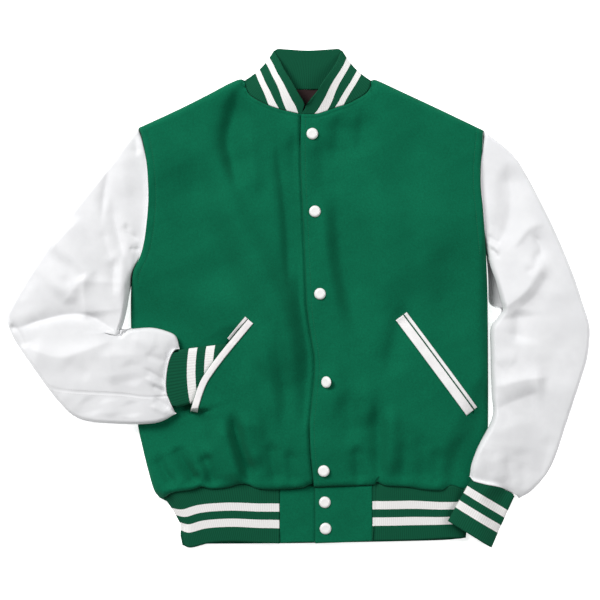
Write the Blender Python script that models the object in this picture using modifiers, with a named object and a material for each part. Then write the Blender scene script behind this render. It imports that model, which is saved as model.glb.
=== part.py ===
"""A varsity jacket laid flat on its back, fastened, with one sleeve bent across the front.

Every panel is a sheet of cloth: a grid whose outer points are worked out from four edge
curves, a crown height and a table of folds, given its wall by Solidify. Tables are in
millimetres: x across the jacket, y towards the collar, z up from the surface it lies on.
Right and left in names are the wearer's; the wearer's right is at negative x.
"""

import math

import bmesh
import bpy
import numpy as np
from mathutils import Vector
from mathutils.bvhtree import BVHTree

MM = 0.001
OBJECT_NAME = "varsity_jacket"

# Cloth walls and clearances
WOOL_WALL = 2.5
SLEEVE_WALL = 2.0
KNIT_WALL = 3.0
LINING_WALL = 1.0
WELT_WALL = 1.6
SEAM_GAP = 0.3
SEAM_GROOVE = 3.7
UNDER_SEAM_GAP = 0.9
LAY_GAP = 0.5
NECK_CORNER_GAP = 2.0
BACK_NECK_GAP = 3.0
COLLAR_END_GAP = 1.2

# Heights of the laid jacket
FRONT_CROWN = 31.0
SHOULDER_DROP = 7.0
SHOULDER_START = 130.0
SHOULDER_REACH = 170.0
UNDERLAP_DROP = 4.2
UNDERLAP_WIDTH = 39.0
UNDERLAP_LEAD = 26.0
UNDERLAP_FADE = 22.0
PRESSED_FRONT = 13.5
SLEEVE_LIFT = 15.0
LEAST_CROWN = 8.0
CUFF_HEIGHT = 14.0
CUFF_ROUNDNESS = 0.55
CUFF_SETTLE = 0.7
CUFF_SETTLE_WIDTH = 60.0
OVER_CUFF = 32.5

# Where the sleeves and cuffs press the front down: from x, y to x, y, reach and fade
PRESSES = [
    (-300, -120, -212, -120, 100, 22), (-200, -124, -125, -114, 50, 22),
    (356, -190, 318, -275, 66, 24), (304, -300, 266, -366, 46, 22),
]
# Where the right front lies over the cuff in its pocket
OVER_CUFF_LINE = (-160, -124, -110, -114, 50, 14)

# Where the sleeves climb onto the body: the start of the climb in x and y, and its widths
RIGHT_CLIMB = (-304, 38, -20, 26)
LEFT_CLIMB = (348, 44, -140, 40)
LEFT_CLIMB_TURN = (28, -268, 50)

# Shares of a body panel's height
UNDERARM_SHARE = 0.56
SIDE_STEPS = (0, 0.02, 0.07, 0.14, 0.22, 0.3, 0.365, 0.388, 0.47, 0.57, 0.67, 0.76, 0.88, 1)
ARMHOLE_STEPS = (0.015, 0.06, 0.15, 0.27, 0.4, 0.52, 0.64, 0.76, 0.86, 0.94, 0.985, 1)

# Shares of a front's width, side edge first; the neck starts at NECK_SHARE
NECK_SHARE = 0.55
FRONT_STEPS = (
    0, 0.005, 0.025, 0.065, 0.13, 0.21, 0.3, 0.38, 0.46, 0.55, 0.64, 0.72, 0.8, 0.87, 0.93, 1,
)
UNDERLAP_START = 0.87
POCKET_COLUMN = 7
BACK_NECK_SHARES = (0.31, 0.69)
BACK_STEPS = (
    0, 0.0025, 0.012, 0.035, 0.08, 0.15, 0.23, 0.31, 0.36, 0.42, 0.5,
    0.58, 0.64, 0.69, 0.77, 0.85, 0.92, 0.965, 0.988, 0.9975, 1,
)
SLEEVE_STEPS = (
    0, 0.028, 0.055, 0.09, 0.135, 0.19, 0.25, 0.31, 0.37, 0.42, 0.47,
    0.52, 0.57, 0.63, 0.69, 0.76, 0.83, 0.9, 0.95, 0.982, 1,
)

# Body edges: x, y, height of the seam, width over which the cloth rolls down to it
RIGHT_SIDE = [
    (-217, -310, 8, 18), (-225.5, -297.6, 8, 20), (-234.4, -267.4, 8, 22),
    (-243.2, -231.7, 8, 22), (-250.6, -196.1, 8, 20), (-256, -150, 7, 14),
    (-260, -95, 7, 14), (-261.2, -45.7, 7, 16), (-261.5, -10, 8, 20), (-261, 18, 8, 16),
]
RIGHT_ARMHOLE = [
    (-261, 18, 8, 16), (-258.5, 38, 14, 12), (-253.6, 50.4, 17, 12), (-244.7, 68.2, 19, 12),
    (-238.7, 92.2, 20, 12), (-235, 121.7, 20, 12), (-232.8, 151.1, 20, 12), (-233.4, 180.9, 20, 12),
    (-235.8, 210.6, 19, 12), (-241.8, 243.2, 16, 12), (-248.8, 266, 9, 12),
]
LEFT_SIDE = [
    (270, -299, 8, 18), (281, -288, 8, 20), (290, -258, 8, 18), (294.5, -225, 7, 16),
    (295.6, -188.3, 7, 16), (295.6, -120, 8, 20), (295.2, -48.8, 8, 22), (294.5, 10, 8, 20),
    (292.5, 66, 8, 16),
]
LEFT_ARMHOLE = [
    (292.5, 66, 8, 16), (290.2, 86, 15, 12), (288.5, 106.8, 19, 12), (285.5, 142.4, 20, 12),
    (282.6, 172.1, 20, 12), (282.6, 204.6, 20, 12), (285.6, 235, 17, 12), (288, 262, 9, 12),
]
RIGHT_SHOULDER = [
    (-248.8, 266, 9, 22), (-190, 293, 9.6, 22), (-140, 318, 9.6, 20), (-112, 333, 9.5, 18),
    (-92, 341.5, 9.3, 12), (-84, 339.5, 9.3, 8),
]
RIGHT_NECK = [
    (-84, 339.5, 9.3, 8), (-82.5, 326, 13, 8), (-72.7, 314.3, 17, 8), (-50.4, 301.8, 20, 8),
    (-29.8, 294.2, 21, 8), (-11.6, 289.7, 21, 8), (4.8, 286.2, 21, 8),
]
LEFT_NECK = [
    (4, 286.2, 24.5, 8), (27.1, 286.3, 22.5, 8), (40.8, 290.2, 21, 8), (58.7, 296.8, 20, 8),
    (74.7, 301.8, 19, 8), (93.5, 311.6, 17, 8), (105.9, 320.1, 15, 8), (113.9, 330.9, 12.5, 8),
    (112.8, 339.5, 11, 8),
]
LEFT_SHOULDER = [
    (112.8, 339.5, 9.3, 8), (122, 340, 9.3, 12), (160, 322.5, 9.5, 20), (220, 294.5, 9.6, 22),
    (288, 262, 9, 22),
]
RIGHT_HEM = [
    (-217, -310, 8, 18), (-208, -309.5, 11, 20), (-195.8, -301.9, 13, 20), (-166.2, -297.6, 13, 22),
    (-151.3, -293.1, 13, 22), (-136.4, -296.1, 13, 22), (-112.7, -294.5, 13, 22), (-91.9, -288.6, 13, 22),
    (-77.2, -290.2, 13, 22), (-62.3, -296.1, 13, 20), (-29.8, -297.6, 12, 18), (6, -295, 11.5, 14),
    (20, -289.5, 11.5, 14), (63, -287.5, 11.5, 14),
]
LEFT_HEM = [
    (24, -293.7, 16.5, 14), (60, -292, 16.5, 16), (115, -290.2, 15, 18), (120.9, -285.7, 14, 20),
    (135.6, -291.6, 13, 22), (168.2, -293.1, 13, 22), (195.1, -297.6, 13, 22), (221.8, -298.4, 13, 22),
    (236.4, -290.2, 13, 20), (254.4, -296.1, 11, 18), (270, -299, 8, 18),
]
FRONT_EDGE = [
    (24, -293.7), (23.1, -282.9), (18.6, -237.9), (17.2, -193.8), (20.2, -163.5), (24.5, -119.7),
    (24.5, -89.9), (17.2, -45.7), (12.7, -10.1), (11.2, 28.7), (7.6, 110), (3.9, 191.4), (3.2, 240),
    (4, 286.2),
]
UNDERLAP_TOP = [(14, 283, 19, 8), (26, 283, 18, 8), (41, 286.5, 17, 8)]
BACK_RIGHT_ARMHOLE = [
    (-261, 18, 8, 12), (-262, 34, 2, 12), (-258, 60, 0, 12), (-250, 95, 0, 12), (-243, 140, 0, 12),
    (-240, 190, 0, 12), (-244, 235, 2, 12), (-248.8, 266, 9, 12),
]
BACK_LEFT_ARMHOLE = [
    (292.5, 66, 8, 12), (294, 84, 2, 12), (293, 110, 0, 12), (290, 150, 0, 12), (288, 190, 0, 12),
    (287, 232, 2, 12), (288, 262, 9, 12),
]
BACK_HEM = [
    (-217, -310, 8, 14), (-200, -306, 2, 14), (-150, -302, 0, 14), (0, -301, 0, 14), (200, -301, 0, 14),
    (255, -301, 2, 14), (270, -299, 8, 14),
]
BACK_NECK = [
    (-84, 339.5, 9.3, 10), (-70, 333, 3.2, 10), (-40, 327.5, 0, 10), (14, 325.3, 0, 10),
    (70, 327.5, 0, 10), (98, 333, 3.2, 10), (112.8, 339.5, 9.3, 10),
]

# Hand pockets: x and y down the slit, lower end first
RIGHT_SLIT = [(-169, -180), (-166, -168), (-158, -142), (-148, -120), (-125, -88), (-98, -55), (-77, -30)]
LEFT_SLIT = [(265.6, -170), (248.5, -140.3), (221.8, -104.6), (195.2, -69), (175.8, -44), (163, -28)]
SLIT_HALF_WIDTH = 0.5
SLIT_REACH = 6.0
SLIT_MOUTH = 0.07
SLIT_FADE = 42.0

# Lips of the pockets: node, slit, inner and outer distance from it, shares where it starts and ends
WELTS = [
    ("welt_right_outer", RIGHT_SLIT, 0.5, 11.0, 0.03, 0.99),
    ("welt_right_inner", RIGHT_SLIT, -0.5, -5.5, 0.74, 0.99),
    ("welt_left_inner", LEFT_SLIT, -0.8, -14.0, 0.0, 1.0),
    ("welt_left_outer", LEFT_SLIT, 0.8, 6.2, 0.0, 1.0),
]
WELT_SPOTS = 13
WELT_FEELERS = [(0, 0), (6, 0), (-6, 0), (0, 6), (0, -6)]

# Folds of the body: from x, y to x, y, height (a trough is negative) and half-width
BODY_FOLDS = [
    (-95, 320, -97, 196, -6, 14), (-20, 190, -18, -3, -4, 11), (-135, 205, -130, 150, 3, 26),
    (-185, 130, -170, -30, -4, 30), (-109, -196, -85, -232, -5, 11), (-85, -232, -64, -290, -7, 9),
    (-177, -253, -151, -290, -5, 9), (-219, -283, -196, -300, -3, 8), (-210, -208, -205, -256, 3, 10),
    (-39, -137, -36, -191, 4, 14), (-36, -191, -18, -253, 4, 13), (38, 225, 52, 137, -4, 12),
    (113, 284, 118, 255, -3, 12), (180, 232, 168, 167, -3, 22), (96, 106, 101, 47, -3, 16),
    (72, -69, 85, -137, -5, 18), (49, -72, 47, -160, 7, 12), (129, -238, 130, -285, -4, 8),
    (168, -247, 168, -285, -3, 8), (233, -265, 232, -292, -3, 8), (260, -232, 232, -288, -5, 10),
]

# Sleeves: one row for each section, from armhole to cuff.
# outer x, y; inner x, y; height of the outer and inner fold; crown above the lift
RIGHT_SLEEVE = [
    (-249.0, 266.2, -261.3, 18.0, 9, 8, 24), (-272, 239, -262.6, 10, 12, 11, 28),
    (-296.8, 204.6, -264, 1, 14, 13, 32), (-355.9, 130.5, -266.5, -14.7, 15, 14, 36),
    (-412.3, 47.3, -270.5, -33.3, 15, 15, 38), (-446, -9, -276, -50, 15, 16, 38),
    (-452.9, -32, -278, -56, 15, 17, 38), (-444, -60, -275, -57, 15, 17, 38),
    (-414.6, -104.6, -263.5, -48.5, 15, 18, 37), (-374.3, -158.9, -241, -45.4, 15, 22, 36),
    (-340, -187.5, -225, -45.4, 15, 23, 35), (-284.4, -194.8, -207, -49.6, 17, 23, 34),
    (-222.4, -193.3, -190.5, -58.1, 21, 22, 32), (-189.9, -179, -184.5, -77.5, 20.5, 20.5, 12),
]
LEFT_SLEEVE = [
    (288.3, 262.2, 292.8, 66.0, 9, 8, 24), (328.6, 228.6, 297, 54, 13, 14, 28),
    (352.3, 196.1, 300.5, 43, 14, 17, 32), (393.7, 115.5, 307, 24, 15, 19, 36),
    (426.4, 38.6, 314, -4, 15, 19, 38), (441.5, -7, 317, -18, 15, 18, 38),
    (450.5, -35, 309, -30, 15, 15, 38), (452.8, -56, 299.0, -46, 15, 14, 38),
    (449, -92, 298.8, -80, 15, 14, 37), (441, -119.7, 299.3, -114, 15, 14, 36),
    (429.4, -155.2, 300.6, -150, 15, 15, 36), (417.7, -190.8, 301, -185.2, 15, 17, 35),
    (393.7, -259, 279.8, -227.1, 15, 21, 34), (365, -297, 269, -255, 13, 21, 30),
    (343.3, -311.6, 265.8, -275, 7, 20.5, 12),
]
LEFT_UNDER_INNER = [
    (292.8, 66, 7.7), (295.2, 45, 4), (296.4, 20, 3), (297, -4, 3), (303, -12, 4), (315, -18, 13),
    (309, -30, 15), (299, -46, 14), (298.8, -80, 14), (299.3, -114, 14), (300.6, -150, 15), (301, -185.2, 17),
    (279.8, -227.1, 21), (269, -255, 21), (265.8, -275, 20.5),
]
RIGHT_CUFF_SEAM = [
    (-184.5, -77.5, 0), (-193.8, -80, 0), (-201.7, -95.3, 0), (-206.2, -119.7, 0), (-206.2, -143.4, 0),
    (-200.3, -161, 0), (-194.5, -173, 0), (-189.9, -179, 0),
]
LEFT_CUFF_SEAM = [
    (265.8, -275, 0), (272, -281.3, 0), (287, -285.7, 0), (307.7, -290.2, 0), (325.5, -299, 0),
    (339, -306, 0), (343.3, -311.6, 0),
]
SLEEVE_ROLL = 27.0
ARMHOLE_ROLL = 14.0
CUFF_ROLL = 15.0
RIGHT_SLEEVE_FOLDS = [
    (-277, -54, -329, -25, -13, 13), (-329, -25, -388, -31, -9, 11), (-388, -31, -448, -44, -4, 10),
    (-303, 184, -308, 98, -4, 8), (-363, 98, -291, 51, -5, 13), (-291, 51, -291, 30, -5, 12),
    (-255, -88, -250, -122, -3, 10), (-268, 117, -246, 90, -4, 8),
]
LEFT_SLEEVE_FOLDS = [
    (325, 196, 331, 167, -4, 12), (331, 167, 325, 106, -6, 11), (325, 106, 303, 80, -5, 10),
    (317, -16, 356, 36, -7, 10), (356, 36, 378, 80, -6, 9), (302, -150, 358, -142, -9, 11),
    (358, -142, 391, -137, -4, 9),
]

# Cuffs: end line, from the corner beside the sleeve's inner fold to the outer one
RIGHT_CUFF_START = [(-186, -79.5), (-190.8, -169.5)]
RIGHT_CUFF_END = [(-103, -69), (-108, -149)]
LEFT_CUFF_START = [(266.4, -282.5), (337, -307.5)]
LEFT_CUFF_END = [(231.6, -344.9), (300.4, -387.3)]
CUFF_STEPS = (0, 0.15, 0.4, 0.7, 1)
CUFF_SIDES = 24

# Collar: free edge from the front end round to the side fold, x, y, z
COLLAR_RIGHT_EDGE = [
    (9.2, 300.6, 26), (7, 305.5, 28), (0.5, 315.4, 30), (-6.7, 327.8, 30), (-14, 341, 28),
    (-22.5, 355, 24), (-29, 369, 17), (-34.5, 383, 9),
]
COLLAR_LEFT_EDGE = [
    (13, 298, 28), (16.3, 301.5, 30), (21.7, 309.2, 31), (29.9, 320.9, 31), (36.4, 331.7, 31),
    (45, 344.9, 28), (53.5, 357.3, 24), (60.5, 369.7, 17), (63.5, 382, 9),
]
COLLAR_BACK_EDGE = [
    (-35.3, 388, 5), (-31, 388, 1), (-20, 387, 0), (15, 385.5, 0), (50, 387, 0), (61, 388, 1), (65.7, 388, 5),
]
COLLAR_ROWS = (0, 0.25, 0.5, 0.75, 1)

# Waistband: free edge, x, y, z
WAIST_RIGHT_EDGE = [
    (-29.8, -381.5, 12), (-62.3, -380.5, 12), (-100.9, -378.5, 12), (-136.4, -380.5, 12),
    (-166.2, -387.7, 12), (-181, -385, 5),
]
WAIST_LEFT_EDGE = [
    (115, -377.4, 12), (120, -377.6, 12), (180.6, -376.2, 12), (233.3, -373.2, 12), (252, -373.2, 10),
    (261, -373.2, 5),
]
WAIST_BACK_EDGE = [
    (-181, -385, 5), (-170, -385, 0.6), (-150, -383, 0), (0, -382, 0), (200, -378, 0), (250, -375, 0.6),
    (261, -373.2, 5),
]
WAIST_ROWS = (0, 0.06, 0.35, 0.7, 1)
TAB_JOINT_RIGHT = -29.8
TAB_JOINT_LEFT = 115.0
TAB_RIGHT_EDGE = [(-29.8, -381.5, 10.5), (2.3, -379.9, 10.5), (61, -379.9, 10.5)]
TAB_LEFT_EDGE = [(26, -381, 15), (70, -379.5, 15), (115, -377.4, 14.5)]

# Neck lining: depth below the back neck seam
LINING_DEPTH = 46.0

# Snap caps down the placket: x, y, lean towards the wearer's right in degrees
SNAPS = [
    (21.4, 255.3, 0), (25.4, 134.7, 0), (33.2, 7.3, 4), (43.0, -129.1, 32),
    (39.1, -267.1, 8), (40.9, -316.8, 0), (42.0, -357.7, 0),
]
SNAP_DIAMETER = 18.0
SNAP_HEIGHT = 3.4
SNAP_SEAT = 8.4
SNAP_GAP = 0.35
SNAP_SIDES = 16
TAB_TOP = -290.0

COLOURS = {
    "wool_green": ((0.006, 0.148, 0.070, 1), 0.85, 0.0),
    "sleeve_white": ((0.80, 0.79, 0.80, 1), 0.5, 0.0),
    "knit_green": ((0.008, 0.110, 0.050, 1), 0.9, 0.0),
    "snap_white": ((0.88, 0.87, 0.86, 1), 0.25, 0.0),
    "welt_white": ((0.84, 0.81, 0.82, 1), 0.5, 0.0),
    "lining_maroon": ((0.038, 0.012, 0.014, 1), 0.6, 0.0),
}


def clear_scene():
    """Removes everything the file starts with."""
    for thing in list(bpy.data.objects):
        bpy.data.objects.remove(thing, do_unlink=True)


def smooth(share):
    """Eases a share from 0 to 1."""
    share = np.clip(share, 0, 1)
    return share * share * (3 - 2 * share)


def roll(distance, width):
    """Height share of cloth that rolls down to an edge over a width, like a quarter ellipse."""
    share = np.clip(distance / np.maximum(width, 1e-6), 0, 1)
    return np.sqrt(1 - (1 - share) ** 2)


def dense(rows):
    """A Catmull-Rom curve through a table's rows, every column carried along."""
    rows = np.array(rows, float)
    padded = np.vstack([2 * rows[0] - rows[1], rows, 2 * rows[-1] - rows[-2]])
    t = np.linspace(0, 1, 12, endpoint=False)[:, None]
    spans = [
        0.5 * (2 * b + (c - a) * t + (2 * a - 5 * b + 4 * c - d) * t**2 + (3 * b - a - 3 * c + d) * t**3)
        for a, b, c, d in zip(padded, padded[1:], padded[2:], padded[3:])
    ]
    return np.vstack([*spans, rows[-1:]])


def along(rows, shares):
    """Points of a table's curve at shares of its length."""
    line = dense(rows)
    lengths = np.concatenate([[0], np.cumsum(np.hypot(*np.diff(line[:, :2], axis=0).T))])
    wanted = np.asarray(shares, float) * lengths[-1]
    return np.stack([np.interp(wanted, lengths, column) for column in line.T], axis=1)


def by_row(rows, shares):
    """Points of a table's curve at shares of its row count."""
    line = dense(rows)
    places = np.linspace(0, 1, len(line))
    return np.stack([np.interp(shares, places, column) for column in line.T], axis=1)


def chained(first, second, joint, shares):
    """Two curves end to end; the second starts at share joint."""
    shares = np.asarray(shares, float)
    low = along(first, shares[shares <= joint] / joint)
    high = along(second, (shares[shares > joint] - joint) / (1 - joint))
    return np.vstack([low, high])


def fold_height(x, y, folds):
    """Sum of the soft troughs and ridges at each point."""
    total = np.zeros_like(x)
    for x0, y0, x1, y1, height, half_width in folds:
        dx, dy = x1 - x0, y1 - y0
        share = np.clip(((x - x0) * dx + (y - y0) * dy) / (dx * dx + dy * dy), 0, 1)
        away = np.hypot(x - x0 - share * dx, y - y0 - share * dy)
        total += height * np.exp(-((away / half_width) ** 2))
    return total


def near_line(x, y, line):
    """1 within reach of a line, falling to 0 over its fade."""
    x0, y0, x1, y1, reach, fade = line
    dx, dy = x1 - x0, y1 - y0
    share = np.clip(((x - x0) * dx + (y - y0) * dy) / (dx * dx + dy * dy), 0, 1)
    away = np.hypot(x - x0 - share * dx, y - y0 - share * dy)
    return 1 - smooth((away - reach) / fade)


def pressed(x, y):
    """How far the front is pressed down by the sleeves and cuffs that lie on it, 0 to 1."""
    return np.max([near_line(x, y, line) for line in PRESSES], axis=0)


def free_crown(x, y):
    """Height of the fronts' outer face away from their edges, with nothing lying on them."""
    shoulder = SHOULDER_DROP * smooth((y - SHOULDER_START) / SHOULDER_REACH)
    return FRONT_CROWN - shoulder + fold_height(x, y, BODY_FOLDS)


def body_crown(x, y):
    """Height of the fronts' outer face away from their edges."""
    hold = pressed(x, y)
    return free_crown(x, y) * (1 - hold) + PRESSED_FRONT * hold


def sleeve_lift(x, y, side):
    """How far a sleeve's underside is lifted by the body it lies on."""
    if side == "right":
        start_x, width_x, start_y, width_y = RIGHT_CLIMB
        return SLEEVE_LIFT * smooth((x - start_x) / width_x) * smooth((start_y - y) / width_y)
    start_x, width_x, start_y, width_y = LEFT_CLIMB
    turn, turn_y, turn_width = LEFT_CLIMB_TURN
    start_x = start_x - turn * smooth((turn_y - y) / turn_width)
    return SLEEVE_LIFT * smooth((start_x - x) / width_x) * smooth((start_y - y) / width_y)


def coons(left, right, bottom, top, u, v):
    """Points of a patch between four edge curves; left and right run up, bottom and top across."""
    u, v = np.asarray(u)[None, :, None], np.asarray(v)[:, None, None]
    ruled = (1 - u) * left[:, None] + u * right[:, None] + (1 - v) * bottom[None] + v * top[None]
    corners = (1 - v) * ((1 - u) * bottom[0] + u * bottom[-1]) + v * ((1 - u) * top[0] + u * top[-1])
    return ruled - corners


def rolled(flat, crown, sides):
    """Heights of a patch that rises from its edges to a crown; sides lists which edges roll."""
    x, y, seam, width = np.moveaxis(flat, 2, 0)
    edges = {"left": (slice(None), slice(0, 1)), "right": (slice(None), slice(-1, None)),
             "bottom": (slice(0, 1), slice(None)), "top": (slice(-1, None), slice(None))}
    rise = np.ones_like(x)
    for side in sides:
        at = edges[side]
        rise = rise * roll(np.hypot(x - x[at], y - y[at]), width[at])
    return np.stack([x, y, seam + (crown - seam) * rise], axis=2)


def lean_to_slit(flat, shares, slit):
    """Moves the columns sideways so that one runs down the pocket's slit."""
    y, x = flat[:, POCKET_COLUMN, 1], flat[:, POCKET_COLUMN, 0]
    slit_x, slit_y = np.array(slit, float).T
    shift = np.interp(y, slit_y, slit_x) - x
    shift = shift * smooth((y - y[0]) / (slit_y[0] - y[0])) * smooth((y[-1] - y) / (y[-1] - slit_y[-1]))
    at = shares[POCKET_COLUMN]
    tent = np.where(shares <= at, shares / at, (1 - shares) / (1 - at))
    flat[:, :, 0] += shift[:, None] * tent[None, :]
    return [row for row in range(len(y)) if slit_y[0] - SLIT_REACH <= y[row] <= slit_y[-1] + SLIT_REACH]


def sheet_mesh(name, points, wall, down=False, slit_rows=(), beyond=None, column=POCKET_COLUMN):
    """A cloth wall whose outer face has the given points; a slit parts the grid down one column.

    down turns the outer face to the floor, and beyond holds the points past the slit.
    """
    rows, columns = points.shape[:2]
    mesh = bpy.data.meshes.new(name)
    bm = bmesh.new()
    bmesh.ops.create_grid(bm, x_segments=columns - 1, y_segments=rows - 1, size=0.5)
    width = max(v.co.x for v in bm.verts)
    for vert in bm.verts:
        across = round((vert.co.x / width + 1) / 2 * (columns - 1))
        up = round((vert.co.y / width + 1) / 2 * (rows - 1))
        vert.co = (across, up, 0)
    if len(slit_rows):
        first, last = slit_rows[0], slit_rows[-1]
        on_slit = [v for v in bm.verts if round(v.co.x) == column and first <= round(v.co.y) <= last]
        cut = [edge for edge in bm.edges if all(v in on_slit for v in edge.verts)]
        bmesh.ops.split_edges(bm, edges=cut)
    for vert, is_beyond in [(v, past_column(v, column)) for v in bm.verts]:
        across, up = round(vert.co.x), round(vert.co.y)
        source = beyond if beyond is not None and is_beyond else points
        vert.co = Vector(source[up, across]) * MM
    if down:
        bmesh.ops.reverse_faces(bm, faces=bm.faces)
    bm.to_mesh(mesh)
    bm.free()
    cloth = bpy.data.objects.new(name, mesh)
    solidify = cloth.modifiers.new("wall", "SOLIDIFY")
    solidify.thickness = wall * MM
    solidify.offset = -1
    return cloth


def past_column(vert, column):
    """Whether a grid vertex, still in grid steps, belongs to the faces past a column."""
    centres = [face.calc_center_median().x for face in vert.link_faces]
    return sum(centres) / len(centres) > column if round(vert.co.x) == column else vert.co.x > column


def height_finder(points, beyond=None):
    """A function that gives a panel's outer height at x, y, from its own facets.

    Each square facet is split along both diagonals, and the higher half counts.
    """
    rows, columns = points.shape[:2]
    places, faces = [], []
    for source in [points] if beyond is None else [points, beyond]:
        base = len(places)
        places += [Vector(p) for p in source.reshape(-1, 3)]
        for row in range(rows - 1):
            for col in range(columns - 1):
                if beyond is not None and (col >= POCKET_COLUMN) != (source is beyond):
                    continue
                a = base + row * columns + col
                b, c, d = a + 1, a + columns + 1, a + columns
                faces += [(a, b, c), (a, c, d), (a, b, d), (b, c, d)]
    tree = BVHTree.FromPolygons(places, faces)

    def height(x, y):
        hit = tree.ray_cast(Vector((x, y, 200)), Vector((0, 0, -1)))
        if hit[0] is None:
            hit = tree.find_nearest(Vector((x, y, 20)))
        return hit[0].z

    return height


def outward(line, gap, left_hand):
    """A row of points moved sideways by a gap, to the left or right of its direction."""
    tangent = np.gradient(line[:, :2], axis=0)
    tangent /= np.maximum(np.hypot(*tangent.T), 1e-9)[:, None]
    normal = np.stack([-tangent[:, 1], tangent[:, 0]], axis=1) * (1 if left_hand else -1)
    moved = line.copy()
    moved[:, :2] += normal * gap
    return moved


def between(line, start_x, end_x):
    """The stretch of an edge's points between two x places, its ends worked out on the edge."""
    line = line[np.argsort(line[:, 0])]
    ends = [[x, *(np.interp(x, line[:, 0], line[:, k]) for k in (1, 2))] for x in (start_x, end_x)]
    inside = line[(line[:, 0] > start_x + 1) & (line[:, 0] < end_x - 1), :3]
    return np.vstack([ends[:1], inside, ends[1:]])


def front_line(shift, bottom, top):
    """The front edge moved sideways, its heights and rolls running from a hem row to a neck row."""
    rows = []
    for x, y in FRONT_EDGE[1:-1]:
        share = (y - bottom[1]) / (top[1] - bottom[1])
        rows.append((x + shift, y, *(a + (b - a) * share for a, b in zip(bottom[2:], top[2:]))))
    return [bottom, *rows, top]


def seam_heights(rows, change):
    """A table with its seam heights raised or lowered."""
    return [(row[0], row[1], row[2] + change, *row[3:]) for row in rows]


class Body:
    """The two fronts and the back, as arrays of outer points."""

    def __init__(self):
        half = SEAM_GROOVE / 2
        self.v = np.array([UNDERARM_SHARE * s for s in SIDE_STEPS]
                          + [UNDERARM_SHARE + (1 - UNDERARM_SHARE) * s for s in ARMHOLE_STEPS])
        self.arm_rows = slice(len(SIDE_STEPS) - 1, len(self.v))
        self.make_right(half)
        self.make_left(half)
        self.make_back(-half)

    def edge(self, side, armhole, change):
        """A side edge from hem to shoulder."""
        return chained(seam_heights(side, change), seam_heights(armhole, change), UNDERARM_SHARE, self.v)

    def make_right(self, change):
        """The wearer's right front, which runs on under the other one at centre front."""
        u = np.array(FRONT_STEPS, float)
        under = front_line(UNDERLAP_WIDTH, RIGHT_HEM[-1], UNDERLAP_TOP[-1])
        shown = u[u <= UNDERLAP_START] / UNDERLAP_START
        hidden = (u[u > UNDERLAP_START] - UNDERLAP_START) / (1 - UNDERLAP_START)
        shoulder = seam_heights(RIGHT_SHOULDER, change)
        neck = np.vstack([
            chained(shoulder, RIGHT_NECK, NECK_SHARE / UNDERLAP_START, shown),
            along([RIGHT_NECK[-1], *UNDERLAP_TOP], hidden),
        ])
        left = self.edge(RIGHT_SIDE, RIGHT_ARMHOLE, change)
        flat = coons(left, along(under, self.v), along(RIGHT_HEM, u), neck, u, self.v)
        flat[0, 0] = left[0]
        self.right_slit = lean_to_slit(flat, u, RIGHT_SLIT)
        x, y = flat[..., 0], flat[..., 1]
        edge_x = np.interp(y, [row[1] for row in FRONT_EDGE], [row[0] for row in FRONT_EDGE])
        drop = UNDERLAP_DROP * smooth((x - edge_x + UNDERLAP_LEAD) / UNDERLAP_FADE)
        free = free_crown(x, y) - drop
        held = body_crown(x, y) - drop * (1 - pressed(x, y))
        slit_x, slit_y = np.array(RIGHT_SLIT, float).T
        past = x - np.interp(y, slit_y, slit_x)
        share = (y - slit_y[0]) / (slit_y[-1] - slit_y[0])
        mouth = smooth(share / SLIT_MOUTH) * smooth((1 - share) / SLIT_MOUTH)
        over = np.maximum(mouth, smooth(past / SLIT_FADE))
        clear = np.maximum(free, OVER_CUFF * near_line(x, y, OVER_CUFF_LINE))
        over_crown = held * (1 - over) + clear * over
        sides = ("left", "bottom", "top")
        self.right = rolled(flat, held, sides)
        self.right_beyond = rolled(flat, over_crown, sides)

    def make_left(self, change):
        """The wearer's left front, from the front edge to the side."""
        u = 1 - np.array(FRONT_STEPS[::-1], float)
        right = self.edge(LEFT_SIDE, LEFT_ARMHOLE, change)
        top = chained(LEFT_NECK, seam_heights(LEFT_SHOULDER, change), 1 - NECK_SHARE, u)
        edge = front_line(0, LEFT_HEM[0], LEFT_NECK[0])
        flat = coons(along(edge, self.v), right, along(LEFT_HEM, u), top, u, self.v)
        flat = flat[:, ::-1].copy()
        self.left_slit = lean_to_slit(flat, 1 - u[::-1], LEFT_SLIT)
        flat = flat[:, ::-1].copy()
        crown = body_crown(flat[..., 0], flat[..., 1])
        self.left = rolled(flat, crown, ("right", "bottom", "top"))
        self.left_beyond = self.left.copy()
        column = len(u) - 1 - POCKET_COLUMN
        slit_x, slit_y = np.array(LEFT_SLIT, float).T
        tangent = np.array([slit_x[-1] - slit_x[0], slit_y[-1] - slit_y[0]])
        normal = np.array([-tangent[1], tangent[0]]) / np.hypot(*tangent) * SLIT_HALF_WIDTH
        for row in self.left_slit[1:-1]:
            self.left[row, column, :2] += normal * (1 if normal[0] < 0 else -1)
            self.left_beyond[row, column, :2] -= normal * (1 if normal[0] < 0 else -1)
        self.left_column = column

    def make_back(self, change):
        """The back, flat where it rests and turned up at its side and shoulder seams."""
        u = np.array(BACK_STEPS, float)
        first, last = BACK_NECK_SHARES
        left = self.edge(RIGHT_SIDE, BACK_RIGHT_ARMHOLE, change)
        right = self.edge(LEFT_SIDE, BACK_LEFT_ARMHOLE, change)
        top = np.vstack([
            along(seam_heights(RIGHT_SHOULDER, change), u[u <= first] / first),
            along(seam_heights(BACK_NECK, change), (u[(u > first) & (u <= last)] - first) / (last - first)),
            along(seam_heights(LEFT_SHOULDER, change), (u[u > last] - last) / (1 - last)),
        ])
        bottom = along(seam_heights(BACK_HEM, change), u)
        for edge in (left, right, bottom, top):
            edge[:, 2] = np.maximum(edge[:, 2], 0)
        flat = coons(left, right, bottom, top, u, self.v)
        self.back = rolled(flat, np.zeros_like(flat[..., 0]), ("left", "right", "bottom", "top"))
        self.back[..., 2] = np.maximum(self.back[..., 2], 0)


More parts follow.
